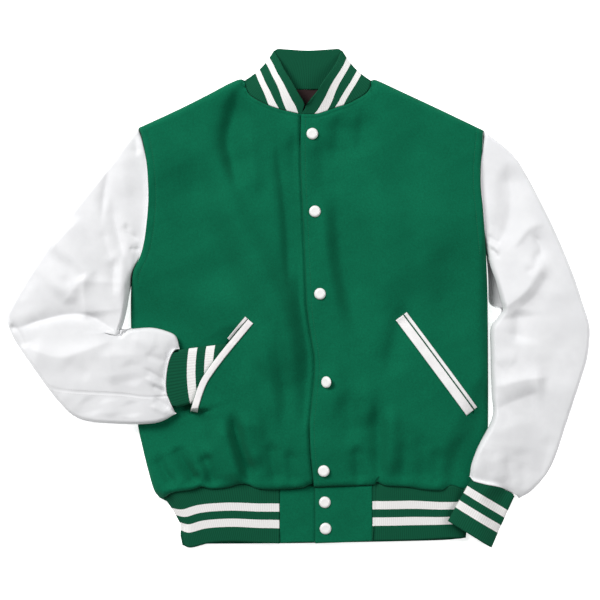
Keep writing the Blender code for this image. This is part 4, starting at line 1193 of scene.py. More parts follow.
BODY_FOLDS: tuple[Fold, ...] = (
    # wearer's right front: long drapes from the shoulder and neck
    Fold(((-90, 338), (-103, 284), (-110, 246), (-102, 208), (-96, 165)), -12, 26, 13, 1.8),
    Fold(((-78, 262), (-74, 205), (-66, 150)), 4, 16, 20),
    Fold(
        ((-132, 236), (-112, 152), (-80, 78), (-46, 21), (-27, -33), (-17, -95), (-9, -170)),
        15, 26, 40, 2, 0.25,
    ),
    Fold(((-38, 262), (-27, 192), (-19, 122), (-16, 60), (-14, 5)), -6, 14, 9, 1.8),
    Fold(
        (
            (-7, 266), (-6, 191), (-2, 110), (1, 29), (4, -20), (12, -70), (14, -105), (11, -160),
            (7, -210),
        ),
        -5, 8, 13, 1.7, 0.08,
    ),
    Fold(((-66, -6), (-54, -80), (-42, -150), (-30, -215)), 6, 10, 16, 1.8, 0.3),
    Fold(((-36, -30), (-28, -90), (-22, -130), (-16, -190)), -5, 13, 9, 1.8, 0.35),
    Fold(((-84, -90), (-70, -160), (-56, -236)), 5, 12, 20),
    Fold(((-166, 236), (-150, 150), (-124, 60), (-100, -20)), -12, 46, 80, 2, 0.3),
    # gathers into the right half of the hem
    Fold(((-162, -172), (-152, -200), (-142, -240)), -8, 16, 14, 1.8, 0.35),
    Fold(((-120, -184), (-112, -210), (-102, -245), (-88, -292)), 8, 9, 20, 1.8, 0.25),
    Fold(((-104, -172), (-98, -208), (-88, -243), (-70, -294)), -10, 12, 10, 1.6, 0.28),
    Fold(((-86, -170), (-80, -215), (-62, -270)), 6, 13, 11),
    Fold(((-192, -226), (-178, -256), (-156, -290)), -10, 10, 11, 1.5, 0.2),
    Fold(((-170, -214), (-158, -252), (-140, -286)), 5, 12, 10),
    Fold(((-150, -238), (-140, -264), (-128, -296)), -6, 10, 10, 1.6, 0.25),
    Fold(((-222, -236), (-208, -268), (-188, -298)), -6, 10, 11, 1.6),
    Fold(((-44, -214), (-40, -250), (-32, -298)), -6, 11, 11, 1.7),
    Fold(((-14, -228), (-11, -262), (-8, -296)), -4, 9, 10, 1.8),
    # wearer's left front
    Fold(((38, 256), (41, 196), (46, 136)), -6, 28, 18, 1.9, 0.35),
    Fold(((32, 196), (38, 130), (44, 60), (60, -20), (80, -90)), 4, 14, 14, 1.9, 0.4),
    Fold(((56, 216), (62, 140), (68, 60), (86, -20), (106, -100)), -8, 40, 17, 2, 0.42),
    Fold(((122, 200), (126, 120), (130, 40), (140, -30)), 8, 50, 30, 2, 0.35),
    Fold(((66, 290), (62, 250), (60, 204)), -6, 26, 14, 1.8, 0.35),
    Fold(((101, 300), (98, 262), (94, 214)), -5, 20, 12, 1.8, 0.4),
    Fold(((206, 270), (177, 215), (140, 142)), -4, 36, 30),
    Fold(((236, 200), (216, 130), (196, 60), (180, -10)), 6, 50, 50, 2, 0.4),
    Fold(((172, 0), (150, -64), (138, -128)), -6, 20, 15),
    Fold(((230, 100), (236, 20), (244, -70)), -4, 26, 30),
    Fold(((52, -76), (57, -129), (52, -188)), 4, 16, 22, 2, 0.4),
    Fold(((84, -130), (80, -170), (74, -240)), -5, 20, 18, 1.9, 0.4),
    Fold(((112, -110), (106, -150), (98, -210)), 4, 16, 20, 2, 0.4),
    # gathers into the left half of the hem
    Fold(((120, -150), (123, -234), (124, -294)), -7.5, 12, 13, 1.6, 0.36),
    Fold(((144, -156), (141, -236), (142, -284)), 7, 16, 11),
    Fold(((90, -222), (92, -256), (94, -294)), -5, 10, 10, 1.7),
    Fold(((164, -214), (163, -256), (160, -296)), -3, 10, 11, 1.8),
    Fold(((188, -202), (192, -246), (196, -296)), -4, 12, 13, 1.8),
    Fold(((218, -226), (214, -256), (208, -296)), -3, 10, 12, 1.8),
    Fold(((262, -206), (248, -248), (236, -294)), -5, 12, 13, 1.7),
    Fold(((284, -196), (272, -236), (256, -280)), -5, 10, 10, 1.6),
)
# shallow creases of the back, where it lies on the floor
BACK_FOLDS: tuple[Fold, ...] = (
    Fold(((-170, 250), (-120, 120), (-60, 10), (-40, -120)), 1.4, 9, 14),
    Fold(((200, 240), (150, 110), (110, -20)), 1.2, 14, 8),
    Fold(((-220, 60), (-130, 30), (-20, 40)), 1.0, 7, 12),
    Fold(((250, 20), (170, -40), (70, -60)), 1.1, 12, 7),
    Fold(((-150, -180), (-142, -240), (-136, -296)), 1.3, 7, 9),
    Fold(((-60, -200), (-56, -250), (-48, -296)), 1.1, 9, 6),
    Fold(((60, -190), (66, -240), (64, -296)), 1.3, 7, 8),
    Fold(((170, -200), (176, -250), (182, -294)), 1.2, 8, 8),
    Fold(((-30, 300), (-10, 220), (0, 130)), 1.0, 12, 9),
)


def front_seam(rows: Rows) -> Line:
    """A seam line at the height that a front or a sleeve's top has there."""
    return Line(rows).raised(SEAM_GROOVE / 2)


def back_seam(rows: Rows) -> Line:
    """A seam line at the height that the back has there."""
    return Line(rows).raised(-SEAM_GROOVE / 2)


def front_line(shift: float, bottom: tuple[float, ...], top: tuple[float, ...]) -> Line:
    """The front edge moved sideways, its heights and rolls running from a hem row to a neck row."""
    rows = []
    for x, y in FRONT_EDGE[1:-1]:
        share = (y - bottom[1]) / (top[1] - bottom[1])
        rows.append((x + shift, y, *(a + (b - a) * share for a, b in zip(bottom[2:], top[2:]))))
    return Line((bottom, *rows, top))


@dataclass
class BodyPanels:
    """The two fronts and the back, as fine grids of outer points.

    Args:
        columns: Points across a front.
        rows: Points up a front.
        crowding: How much a front's columns and rows crowd towards its edges.
        back_columns: Points across the back.
        back_rows: Points up the back.
        back_crowding: How much the back's columns and rows crowd towards its edges.
    """

    columns: int = 132
    rows: int = 230
    crowding: tuple[float, float] = (0.75, 0.55)
    back_columns: int = 90
    back_rows: int = 120
    back_crowding: tuple[float, float] = (0.8, 0.5)
    v: Array = field(init=False)
    arm: slice = field(init=False)
    right: Array = field(init=False)
    right_u: Array = field(init=False)
    right_slit: Slit = field(init=False)
    left: Array = field(init=False)
    left_u: Array = field(init=False)
    left_slit: Slit = field(init=False)
    back: Array = field(init=False)
    back_u: Array = field(init=False)
    back_arm: slice = field(init=False)

    def __post_init__(self) -> None:
        """Works out the points of all three panels."""
        self.v = steps(self.rows, self.crowding[1], UNDERARM_SHARE)
        self.arm = self.above_underarm(self.v)
        self.make_right()
        self.make_left()
        self.make_back()

    @staticmethod
    def above_underarm(v: Array) -> slice:
        """The rows from the underarm up."""
        return slice(int(np.abs(v - UNDERARM_SHARE).argmin()), None)

    @staticmethod
    def crown(x: Array, y: Array) -> Array:
        """Free height of the fronts' outer face away from their edges."""
        crown = FRONT_CROWN - SHOULDER_DROP * SHOULDER_FALL.at(y) - HEM_DROP * HEM_FALL.at(y)
        return crown + DRAPE_DEPTH * folded(x, y, BODY_FOLDS) + unevenness(x, y, WOOL_WAVES)

    @staticmethod
    def lean(flat: Array, shares: Array, slit: Rows, at: int) -> list[int]:
        """Moves columns sideways so that one runs down a pocket's slit; returns the slit's rows."""
        x, y = flat[:, at, 0], flat[:, at, 1]
        slit_x, slit_y = Line(slit).plan().T
        shift = np.interp(y, slit_y, slit_x) - x
        shift = shift * Ramp(y[0], slit_y[0] - y[0]).at(y) * Ramp(y[-1], slit_y[-1] - y[-1]).at(y)
        tent = np.where(shares <= shares[at], shares / shares[at], (1 - shares) / (1 - shares[at]))
        flat[:, :, 0] += shift[:, None] * tent[None, :]
        return [row for row in range(len(y)) if slit_y[0] <= y[row] <= slit_y[-1]]

    def make_right(self) -> None:
        """The wearer's right front, which runs on under the other one at centre front."""
        u = steps(self.columns, self.crowding[0], POCKET_SHARE, NECK_SHARE, UNDERLAP_START)
        shown = u[u <= UNDERLAP_START] / UNDERLAP_START
        hidden = (u[u > UNDERLAP_START] - UNDERLAP_START) / (1 - UNDERLAP_START)
        shoulder, joint = front_seam(RIGHT_SHOULDER), NECK_SHARE / UNDERLAP_START
        top = np.vstack([
            chained(shoulder, Line(RIGHT_NECK), joint, shown, TOP_STRAIGHT),
            Line((RIGHT_NECK[-1], *UNDERLAP_TOP)).along(hidden),
        ])
        side = chained(front_seam(RIGHT_SIDE), front_seam(RIGHT_ARMHOLE), UNDERARM_SHARE, self.v)
        under = front_line(UNDERLAP_WIDTH, RIGHT_HEM[-1], UNDERLAP_TOP[-1]).along(self.v)
        flat = coons(side, under, Line(RIGHT_HEM).along(u), top, u, self.v)
        column = int(np.abs(u - POCKET_SHARE).argmin())
        rows = self.lean(flat, u, RIGHT_SLIT, column)
        x, y = flat[..., 0], flat[..., 1]
        edge_x = np.interp(y, [row[1] for row in FRONT_EDGE], [row[0] for row in FRONT_EDGE])
        hold = pressed(x, y)
        free = self.crown(x, y) - UNDERLAP_DROP * UNDERLAP_STEP.at(x - edge_x)
        held = free * (1 - hold) + PRESSED_FRONT * hold
        slit_x, slit_y = Line(RIGHT_SLIT).plan().T
        past = x - np.interp(y, slit_y, slit_x)
        share = (y - slit_y[0]) / (slit_y[-1] - slit_y[0])
        over = np.maximum(MOUTH_START.at(share) * MOUTH_END.at(share), PAST_MOUTH.at(past))
        clear = np.maximum(free, OVER_CUFF * CUFF_BULGE.at(x, y))
        sides = ("left", "bottom", "top")
        self.right = rolled(flat, held, sides)
        beyond = rolled(flat, held * (1 - over) + clear * over, sides)
        lip = fading(share, LIP_FADE) * np.exp(-((past / LIP_WIDTH) ** 2))
        beyond[..., 2] -= LIP_TURN * lip
        grooves = [
            Groove(self.right[self.arm, 0], ARMHOLE_STITCH, ARMHOLE_DENT),
            Groove(self.right[-1, u >= NECK_SHARE - TINY], NECK_STITCH, NECK_DENT),
        ]
        for groove in grooves:
            groove.press(self.right)
            groove.press(beyond)
        self.right_u = u
        self.right_slit = Slit(column, rows, beyond)

    def make_left(self) -> None:
        """The wearer's left front, from the front edge to the side."""
        u = 1 - steps(self.columns, self.crowding[0], POCKET_SHARE, NECK_SHARE)[::-1]
        side = chained(front_seam(LEFT_SIDE), front_seam(LEFT_ARMHOLE), UNDERARM_SHARE, self.v)
        top = chained(Line(LEFT_NECK), front_seam(LEFT_SHOULDER), 1 - NECK_SHARE, u, TOP_STRAIGHT)
        edge = front_line(0, LEFT_HEM[0], LEFT_NECK[0]).along(self.v)
        flat = coons(edge, side, Line(LEFT_HEM).along(u), top, u, self.v)
        column = int(np.abs(u - (1 - POCKET_SHARE)).argmin())
        rows = self.lean(flat, u, LEFT_SLIT, column)
        x, y = flat[..., 0], flat[..., 1]
        hold = pressed(x, y)
        crown = self.crown(x, y) * (1 - hold) + PRESSED_FRONT * hold
        points = rolled(flat, crown, ("right", "bottom", "top"))
        away, _, _ = nearest(x, y, flat[:, 0, :2])
        points[..., 2] -= PLACKET_TURN * (1 - roll(np.abs(away), PLACKET_ROLL))
        Groove(points[self.arm, -1], ARMHOLE_STITCH, ARMHOLE_DENT).press(points)
        Groove(points[-1, u <= 1 - NECK_SHARE + TINY], NECK_STITCH, NECK_DENT).press(points)
        Groove(points[:, 0], PLACKET_STITCH, PLACKET_DENT).press(points)
        self.left_u = u
        self.left = points
        self.left_slit = Slit(column, rows, points)

    def make_back(self) -> None:
        """The back, flat where it rests and turned up at its side and shoulder seams."""
        u = steps(self.back_columns, self.back_crowding[0], *BACK_NECK_SHARES)
        v = steps(self.back_rows, self.back_crowding[1], UNDERARM_SHARE)
        first, last = BACK_NECK_SHARES
        left = chained(back_seam(RIGHT_SIDE), back_seam(BACK_RIGHT_ARMHOLE), UNDERARM_SHARE, v)
        right = chained(back_seam(LEFT_SIDE), back_seam(BACK_LEFT_ARMHOLE), UNDERARM_SHARE, v)
        neck = u[(u > first) & (u <= last)]
        top = np.vstack([
            back_seam(RIGHT_SHOULDER).along(u[u <= first] / first),
            back_seam(BACK_NECK).along((neck - first) / (last - first)),
            back_seam(LEFT_SHOULDER).along((u[u > last] - last) / (1 - last)),
        ])
        bottom = back_seam(BACK_HEM).along(u)
        for edge in (left, right, bottom, top):
            keep_above(edge)
        flat = coons(left, right, bottom, top, u, v)
        crown = np.maximum(folded(flat[..., 0], flat[..., 1], BACK_FOLDS), 0)
        self.back = rolled(flat, crown, ("left", "right", "bottom", "top"))
        keep_above(self.back)
        self.back_u = u
        self.back_arm = self.above_underarm(v)

    def build(self, finishes: Finishes) -> None:
        """Makes the three panels' meshes."""
        back = Sheet("back_panel", self.back, WOOL_WALL, down=True)
        back.lay(finishes.wool, "back", "wool")
        right = Sheet("right_front", self.right, WOOL_WALL, slit=self.right_slit)
        right.lay(finishes.wool, "front_right", "wool")
        left = Sheet("left_front", self.left, WOOL_WALL, slit=self.left_slit)
        left.lay(finishes.wool, "front_left", "wool")


# -------------------------------------------------- sleeves

RIGHT_SLEEVE_FOLDS: tuple[Fold, ...] = (
    # where the forearm folds over the upper arm
    Fold(((-456, -46), (-430, -44), (-400, -35)), -2.5, 8, 7, 1.3, 0.15),
    Fold(
        ((-430, -43), (-389, -31), (-359, -25), (-329, -25), (-305, -36), (-272, -58)),
        -6, 12, 8, 1.2, 0.24,
    ),
    Fold(((-424, -74), (-406, -81), (-370, -91), (-334, -82), (-286, -64)), 6, 16, 40, 1.3, 0.18),
    Fold(((-450, -42), (-434, -50), (-422, -78)), -4, 7, 10, 1.3, 0.2),
    # upper arm
    Fold(((-258, 264), (-253, 245), (-251, 218)), -3.5, 7, 8, 1.5),
    Fold(((-278, 236), (-272, 200), (-266, 150)), 2, 14),
    Fold(((-292, 216), (-301, 163), (-306, 112)), -5, 8, 7, 1.4, 0.45),
    Fold(((-291, 160), (-286, 130), (-280, 100), (-270, 58)), -4.5, 7, 10, 1.5),
    Fold(((-303, 110), (-298, 84), (-288, 56)), -2, 6, 8, 1.5),
    Fold(((-388, 66), (-362, 98), (-334, 124)), 9, 16, 70, 1.3, 0.3),
    Fold(((-366, -10), (-338, 26), (-310, 46)), 8, 46, 13, 1.6, 0.3),
    Fold(((-330, 40), (-331, 8), (-328, -34)), 6, 34, 8, 1.3, 0.2),
    Fold(((-357, 40), (-358, 18), (-350, -4)), -1.8, 8, 10, 1.6),
    Fold(((-372, 96), (-400, 52), (-420, 18)), -1.5, 16, 10),
    Fold(((-412, 36), (-424, 14), (-434, -6)), -1.5, 8),
    Fold(((-440, -26), (-412, -20), (-384, -14)), 0.8, 10),
    # underarm
    Fold(((-267, 120), (-263, 102), (-244, 90)), -2.5, 5, 6, 1.5),
    Fold(((-264, 79), (-254, 76), (-243, 78)), -1.8, 4, 4, 1.5),
    Fold(((-272, 72), (-273, 30), (-274, -30)), 3, 9, 7),
    Fold(((-284, 66), (-287, 36), (-286, 2)), -3, 8, 9, 1.5),
    # forearm
    Fold(((-291, -72), (-290, -100), (-286, -136)), 3, 30, 12, 1.6),
    Fold(((-366, -96), (-344, -112), (-318, -116)), -1.6, 14),
    Fold(((-262, -92), (-258, -112), (-252, -138)), -2, 12),
    Fold(((-330, -150), (-322, -168), (-318, -184)), -1.6, 13),
    Fold(((-296, -152), (-292, -170), (-290, -186)), 1.4, 12),
    Fold(((-262, -156), (-258, -172), (-256, -186)), -1.6, 10),
    Fold(((-372, -146), (-350, -160), (-336, -176)), 1.5, 14),
    # gathers at the cuff
    Fold(((-242, -106), (-218, -120), (-200, -134)), -2.2, 4, 6, 1.4),
    Fold(((-240, -122), (-218, -132), (-202, -142)), 1.8, 5),
    Fold(((-230, -134), (-216, -140), (-202, -148)), -1.6, 4),
    Fold(((-226, -152), (-210, -162), (-196, -172)), -2.2, 5, 6, 1.4),
    Fold(((-232, -166), (-214, -172), (-198, -180)), 1.6, 5),
    Fold(((-240, -86), (-222, -92), (-204, -98)), -1.6, 6),
    Fold(((-262, -60), (-240, -66), (-214, -76)), 2, 10),
)
FOREARM_SEAM: Rows = (
    (-408, -128), (-392, -135), (-369, -142), (-338, -145), (-276, -148), (-241, -152), (-214, -152),
    (-196, -150),
)
LEFT_SLEEVE_FOLDS: tuple[Fold, ...] = (
    # upper arm
    Fold(((324, 214), (329, 162), (325, 118), (304, 74)), -8, 24, 16, 1.6, 0.25),
    Fold(((302, 200), (304, 150), (300, 110)), 2, 12),
    Fold(((384, 118), (355, 106), (332, 76)), 3.6, 5, 11, 1.4),
    Fold(((358, 100), (372, 88), (375, 70), (358, 56)), -4.5, 8, 7, 1.4),
    Fold(((372, 64), (362, 46), (347, 42)), -2, 6, 6, 1.5),
    Fold(((384, 64), (352, 14), (322, -12), (304, -34)), 7, 12, 24, 1.4, 0.2),
    Fold(((392, 50), (368, 6), (336, -20)), -3, 24, 10, 1.5),
    Fold(((338, -14), (340, -44), (334, -72)), -6, 22, 12, 1.7),
    Fold(((420, 80), (412, 20), (410, -20)), 2, 20),
    # underarm bunch
    Fold(((291, 100), (302, 92), (316, 84)), -2.2, 4, 5, 1.4),
    Fold(((292, 88), (303, 80), (312, 70)), 1.6, 4),
    Fold(((296, 78), (305, 72), (311, 60)), -2, 4, 4, 1.4),
    # elbow and forearm
    Fold(((300, -138), (346, -126), (388, -122)), 7, 12, 28, 1.4, 0.24),
    Fold(((300, -176), (330, -160), (376, -144)), -5, 14, 34, 1.3, 0.25),
    Fold(((302, -100), (322, -92), (340, -98)), 2, 10),
    Fold(((408, -50), (400, -100), (404, -150)), -2, 22),
    Fold(((392, -206), (384, -240), (372, -292)), -2.5, 11, 14, 1.8),
    Fold(((330, -180), (338, -215), (336, -246)), 2.5, 22),
    # gathers at the cuff
    Fold(((284, -226), (292, -256), (302, -284)), -2, 7, 8, 1.6),
    Fold(((304, -236), (312, -262), (318, -288)), 1.6, 8),
    Fold(((322, -240), (328, -268), (334, -296)), -1.8, 7, 9, 1.6),
    Fold(((346, -250), (350, -276), (352, -302)), -1.4, 8),
)
# shallow creases of both sleeves' undersides
UNDER_FOLDS: tuple[Fold, ...] = (
    Fold(((-322, -46), (-299, -53), (-276, -58)), 2.6, 9),
    Fold(((-290, 200), (-316, 140), (-330, 80)), 1.3, 8, 12),
    Fold(((-400, 20), (-350, 0), (-300, -10)), 1.2, 10, 7),
    Fold(((-400, -90), (-340, -110), (-270, -100)), 1.3, 8, 11),
    Fold(((330, 190), (350, 120), (350, 40)), 1.3, 12, 8),
    Fold(((420, 10), (370, -20), (330, -30)), 1.2, 7, 10),
    Fold(((420, -100), (360, -130), (320, -140)), 1.3, 9, 7),
    Fold(((380, -220), (350, -250), (330, -280)), 1.1, 8, 8),
)


@dataclass
class Sleeve:
    """One sleeve's top and under pieces."""

    side: Side
    table: Rows
    cuff_seam: Rows
    folds: tuple[Fold, ...]
    under_inner: Rows = ()
    seams: tuple[Rows, ...] = ()
    top_grid: tuple[int, int] = (140, 260)
    under_grid: tuple[int, int] = (50, 80)
    crowding: tuple[float, float] = (0.6, 0.3)
    top: Array = field(init=False)
    under: Array = field(init=False)

    def shape(self, body: BodyPanels) -> None:
        """Works out both pieces' points from the armholes of the body."""
        on_right = self.side is Side.RIGHT
        at = 0 if on_right else -1
        front = body.right if on_right else body.left
        front_edge = outward(front[body.arm, at], SEAM_GAP, on_right)
        back_edge = outward(body.back[body.back_arm, at], UNDER_SEAM_GAP, on_right)
        self.top = self.piece(front_edge, True)
        self.under = self.piece(back_edge, False)

    def piece(self, armhole: Array, upper: bool) -> Array:
        """The outer points of one piece, as rows from armhole to cuff."""
        across, along = self.top_grid if upper else self.under_grid
        u, v = steps(across, self.crowding[0]), steps(along, self.crowding[1])
        sign = SEAM_GROOVE / 2 if upper else -SEAM_GROOVE / 2
        rows = Line(self.table).by_row(v)
        widths = np.full(len(v), SLEEVE_ROLL)
        outer = np.column_stack([rows[:, 0], rows[:, 1], rows[:, 4] + sign, widths])
        inner = np.column_stack([rows[:, 2], rows[:, 3], rows[:, 5] + sign, widths])
        if not upper and self.under_inner:
            low = Line(self.under_inner).by_row(v)
            inner = np.column_stack([low[:, :2], np.minimum(low[:, 2], inner[:, 2]), widths])
        arm = Line(tuple(map(tuple, armhole)), spans=2).along(u)
        arm = np.column_stack([arm[:, :3], np.full(len(u), ARMHOLE_ROLL)])
        seam = Line(self.cuff_seam).along(u)
        lift = sleeve_lift(seam[:, 0], seam[:, 1], self.side)
        middle = fading(u, END_OPENING)
        height = lift + CUFF_HEIGHT / 2 + sign + CUFF_HEIGHT / 2 * (middle if upper else -middle)
        seam = np.column_stack([seam[:, :2], np.maximum(height, lift), np.full(len(u), CUFF_ROLL)])
        outer[-1, 2], inner[-1, 2] = seam[-1, 2], seam[0, 2]
        inner[0], outer[0] = arm[0], arm[-1]
        flat = coons(inner, outer, arm, seam, u, v)
        x, y = flat[..., 0], flat[..., 1]
        lift = sleeve_lift(x, y, self.side)
        crown = lift + np.maximum(folded(x, y, UNDER_FOLDS), 0)
        if upper:
            lift = top_lift(x, y, self.side)
            crown = lift + rows[:, 6][:, None] - SLEEVE_SETTLE + folded(x, y, self.folds)
            crown = np.maximum(crown + unevenness(x, y, SLEEVE_WAVES), lift + LEAST_CROWN)
        sides = ("left", "right", "bottom", "top")
        points = rolled(flat, crown, sides, SLEEVE_DOME if upper else 0.0)
        for row in self.seams if upper else ():
            Groove(Line(row).plan(), 0.0, SEAM_DENT, width=1.7, fade=0.04).press(points)
        if not upper:
            keep_above(points)
        return points

    def build(self, finishes: Finishes) -> None:
        """Makes both meshes."""
        turned = self.side is Side.LEFT
        name = self.side.value
        top = Sheet(f"{name}_sleeve_top", self.top, SLEEVE_WALL, down=turned)
        top.lay(finishes.sleeve, f"sleeve_{name}_top", "sleeve")
        under = Sheet(f"{name}_sleeve_under", self.under, SLEEVE_WALL, down=not turned)
        under.lay(finishes.sleeve, f"sleeve_{name}_under", "sleeve")


# -------------------------------------------------- rib knits


@dataclass(frozen=True)
class Ribs:
    """The raised ribs of a knit band."""

    pitch: float
    height: float = 0.10
    steps_each: int = 4

    def raise_on(self, points: Array, count: int, down: bool) -> Array:
        """Raises ribs along the columns of a grid, count of them side by side."""
        turn = np.linspace(0, count * 2 * np.pi, points.shape[1])
        lift = self.height * (np.cos(turn) * 0.5 + 0.5) ** RIB_FULLNESS
        return points + normals_of(points, down) * (lift[None, :, None] - self.height)

    def columns(self, count: int) -> int:
        """Columns of points that a number of ribs takes."""
        return count * self.steps_each + 1


def band(seam: Array, edge: Array, rows: int) -> Array:
    """Points of a strip between a seam and a free edge, row by row."""
    shares = np.linspace(0, 1, rows)[:, None, None]
    return seam[None, :, :3] * (1 - shares) + edge[None, :, :3] * shares


def rib_pattern(points: Array, count: int, pitch: float) -> Array:
    """Pattern places of a band: ribs counted across, distance from the free edge up."""
    gaps = np.linalg.norm(np.diff(points, axis=0), axis=2)
    up = np.vstack([np.zeros(points.shape[1]), np.cumsum(gaps, axis=0)])
    up = up[-1][None] - up
    across = np.broadcast_to(np.linspace(0, count * pitch, points.shape[1]), up.shape)
    return np.stack([across, up], axis=2)


@dataclass
class Cuff:
    """A flattened rib-knit tube between a sleeve's end and a straight hem."""

    side: Side
    seam: Rows
    start: Rows
    end: Rows
    ribs: Ribs = Ribs(2.8)
    rings: int = 34
    count: int = 66

    def points(self) -> tuple[Array, Array]:
        """Outer points of the tube, ring by ring, and their pattern places."""
        columns = self.ribs.columns(self.count)
        angles = np.linspace(0, 2 * np.pi, columns)
        across = (1 - np.cos(angles)) / 2
        first, last = np.array(self.start, float)
        ends = np.array(self.end, float)
        middle = fading(across, CUFF_BLEND)[:, None]
        straight = first + (last - first) * across[:, None]
        begin = straight * (1 - middle) + Line(self.seam).along(across)[:, :2] * middle
        axis = ends.mean(axis=0) - (first + last) / 2
        axis /= np.hypot(*axis)
        begin = begin + axis * CUFF_GAP
        hem = ends[1] - ends[0]
        finish = ends[0] + hem * across[:, None]
        share = np.linspace(0, 1, self.rings)[:, None, None]
        plan = begin[None] * (1 - share) + finish[None] * share
        x, y = plan[..., 0], plan[..., 1]
        rise = np.copysign(np.abs(np.sin(angles)) ** CUFF_FULLNESS, np.sin(angles))
        z = sleeve_lift(x, y, self.side) + CUFF_HEIGHT / 2 * (1 + rise[None])
        square = np.array([-hem[1], hem[0]]) / np.hypot(*hem)
        up = np.abs((plan - ends[0]) @ square)
        if self.side is Side.RIGHT:
            z = z - CUFF_SINK * CUFF_SINKING.at(x)
            bow = 1 - ((y - CUFF_STRIPE_MIDDLE) / CUFF_STRIPE_HALF) ** 2
            up = CUFF_STRIPE_START - x - CUFF_STRIPE_BOW * bow
        points = np.dstack([x, y, z])
        places = np.broadcast_to(np.linspace(0, self.count * self.ribs.pitch, columns), up.shape)
        return points, np.stack([places, up], axis=2)

    def build(self, finishes: Finishes) -> None:
        """Makes the mesh."""
        points, pattern = self.points()
        turned = self.side is Side.LEFT
        ribbed = self.ribs.raise_on(points, self.count, turned)
        ribbed[:, -1] = ribbed[:, 0]
        name = self.side.value
        cuff = Sheet(f"{name}_cuff", ribbed, KNIT_WALL, down=turned, closed=True, pattern=pattern)
        finish = finishes.cuff_left if turned else finishes.cuff_right
        cuff.lay(finish, f"cuff_{name}", "knit")


@dataclass
class Collar:
    """The rib-knit collar: front end, side fold, back, side fold, front end."""

    ribs: Ribs = Ribs(2.8)
    rows: int = 30
    front_count: int = 42
    back_count: int = 62

    def points(self, body: BodyPanels) -> Array:
        """Outer points from the seam to the free edge."""
        front, back = self.ribs.columns(self.front_count), self.ribs.columns(self.back_count)
        right = self.stretch(body.right, body.right_u, NECK_SHARE, UNDERLAP_START)[::-1]
        right = outward(self.fanned(right, front), SEAM_GAP, False)
        left = self.stretch(body.left, body.left_u, 0, 1 - NECK_SHARE)
        left = outward(self.fanned(left, front), SEAM_GAP, True)
        behind = self.stretch(body.back, body.back_u, *BACK_NECK_SHARES)
        behind = outward(resampled(behind, back), BACK_NECK_GAP, True)
        behind[0], behind[-1] = right[-1], left[-1]
        seam = np.vstack([right[:-1], behind, left[:-1][::-1]])
        edge = np.vstack([
            resampled(Line(COLLAR_RIGHT_EDGE).dense(), front)[:-1],
            resampled(Line(COLLAR_BACK_EDGE).dense(), back),
            resampled(Line(COLLAR_LEFT_EDGE).dense(), front)[:-1][::-1],
        ])
        return self.bowed(band(seam, edge, self.rows), (front - 1, front + back - 2))

    @staticmethod
    def stretch(panel: Array, shares: Array, low: float, high: float) -> Array:
        """The stretch of a panel's top edge between two shares of its width."""
        return panel[-1, (shares >= low - TINY) & (shares <= high + TINY)]

    @staticmethod
    def fanned(line: Array, count: int) -> Array:
        """Points along the neck seam, spread so that the ribs stand square to the free edge."""
        lengths = lengths_along(line)
        back = 1 - np.linspace(0, 1, count)
        wanted = lengths[-1] * (1 - (RIB_FAN * back - (RIB_FAN - 1) * back**5))
        return np.stack([np.interp(wanted, lengths, column) for column in line.T], axis=1)

    def bowed(self, points: Array, folds: tuple[int, int]) -> Array:
        """Draws both side folds in a little between the seam and the free edge."""
        shares = np.linspace(0, 1, len(points))
        for fold, hand in zip(folds, (1, -1)):
            away = np.hypot(*(points[..., :2] - points[:, fold:fold + 1, :2]).transpose(2, 0, 1))
            bow = COLLAR_BOW * np.sin(np.pi * shares)[:, None] * smooth(1 - away / COLLAR_BOW_REACH)
            points[..., 0] += hand * bow * COLLAR_BOW_AIM[0]
            points[..., 1] -= bow * COLLAR_BOW_AIM[1]
        return points

    def edge_distance(self, points: Array) -> Array:
        """Distance in plan of each point from its own side's free edge, less near the front tips."""
        x, y = points[..., 0], points[..., 1]
        middle = points.shape[1] // 2
        distance = np.empty_like(x)
        share = TIP_STRIPES.at(y)
        halves = ((slice(None, middle), 1, TIP_RIGHT), (slice(middle, None), -1, TIP_LEFT))
        for part, step, real in halves:
            edge = points[-1, part, :2][::step]
            aim = edge[0] - edge[TIP_SPAN]
            edge = np.vstack([edge[0] + aim * TIP_REACH / np.hypot(*aim), edge])
            away = np.abs(nearest(x[:, part], y[:, part], edge)[0])
            drawn = np.interp(away, real, TIP_PATTERN)
            distance[:, part] = away + (drawn - away) * share[:, part]
        return distance

    def build(self, body: BodyPanels, finishes: Finishes) -> None:
        """Makes the mesh; its inside has no stripes."""
        points = self.points(body)
        count = 2 * self.front_count + self.back_count
        pattern = rib_pattern(points, count, self.ribs.pitch)
        pattern[..., 1] = self.edge_distance(points)
        ribbed = self.ribs.raise_on(points, count, True)
        keep_above(ribbed, KNIT_WALL)
        collar = Sheet("neck_collar", ribbed, KNIT_WALL, down=True, pattern=pattern)
        piece = collar.lay(finishes.collar, "collar", "knit")
        piece.data.materials.append(finishes.inside)
        piece.modifiers["wall"].material_offset = 1


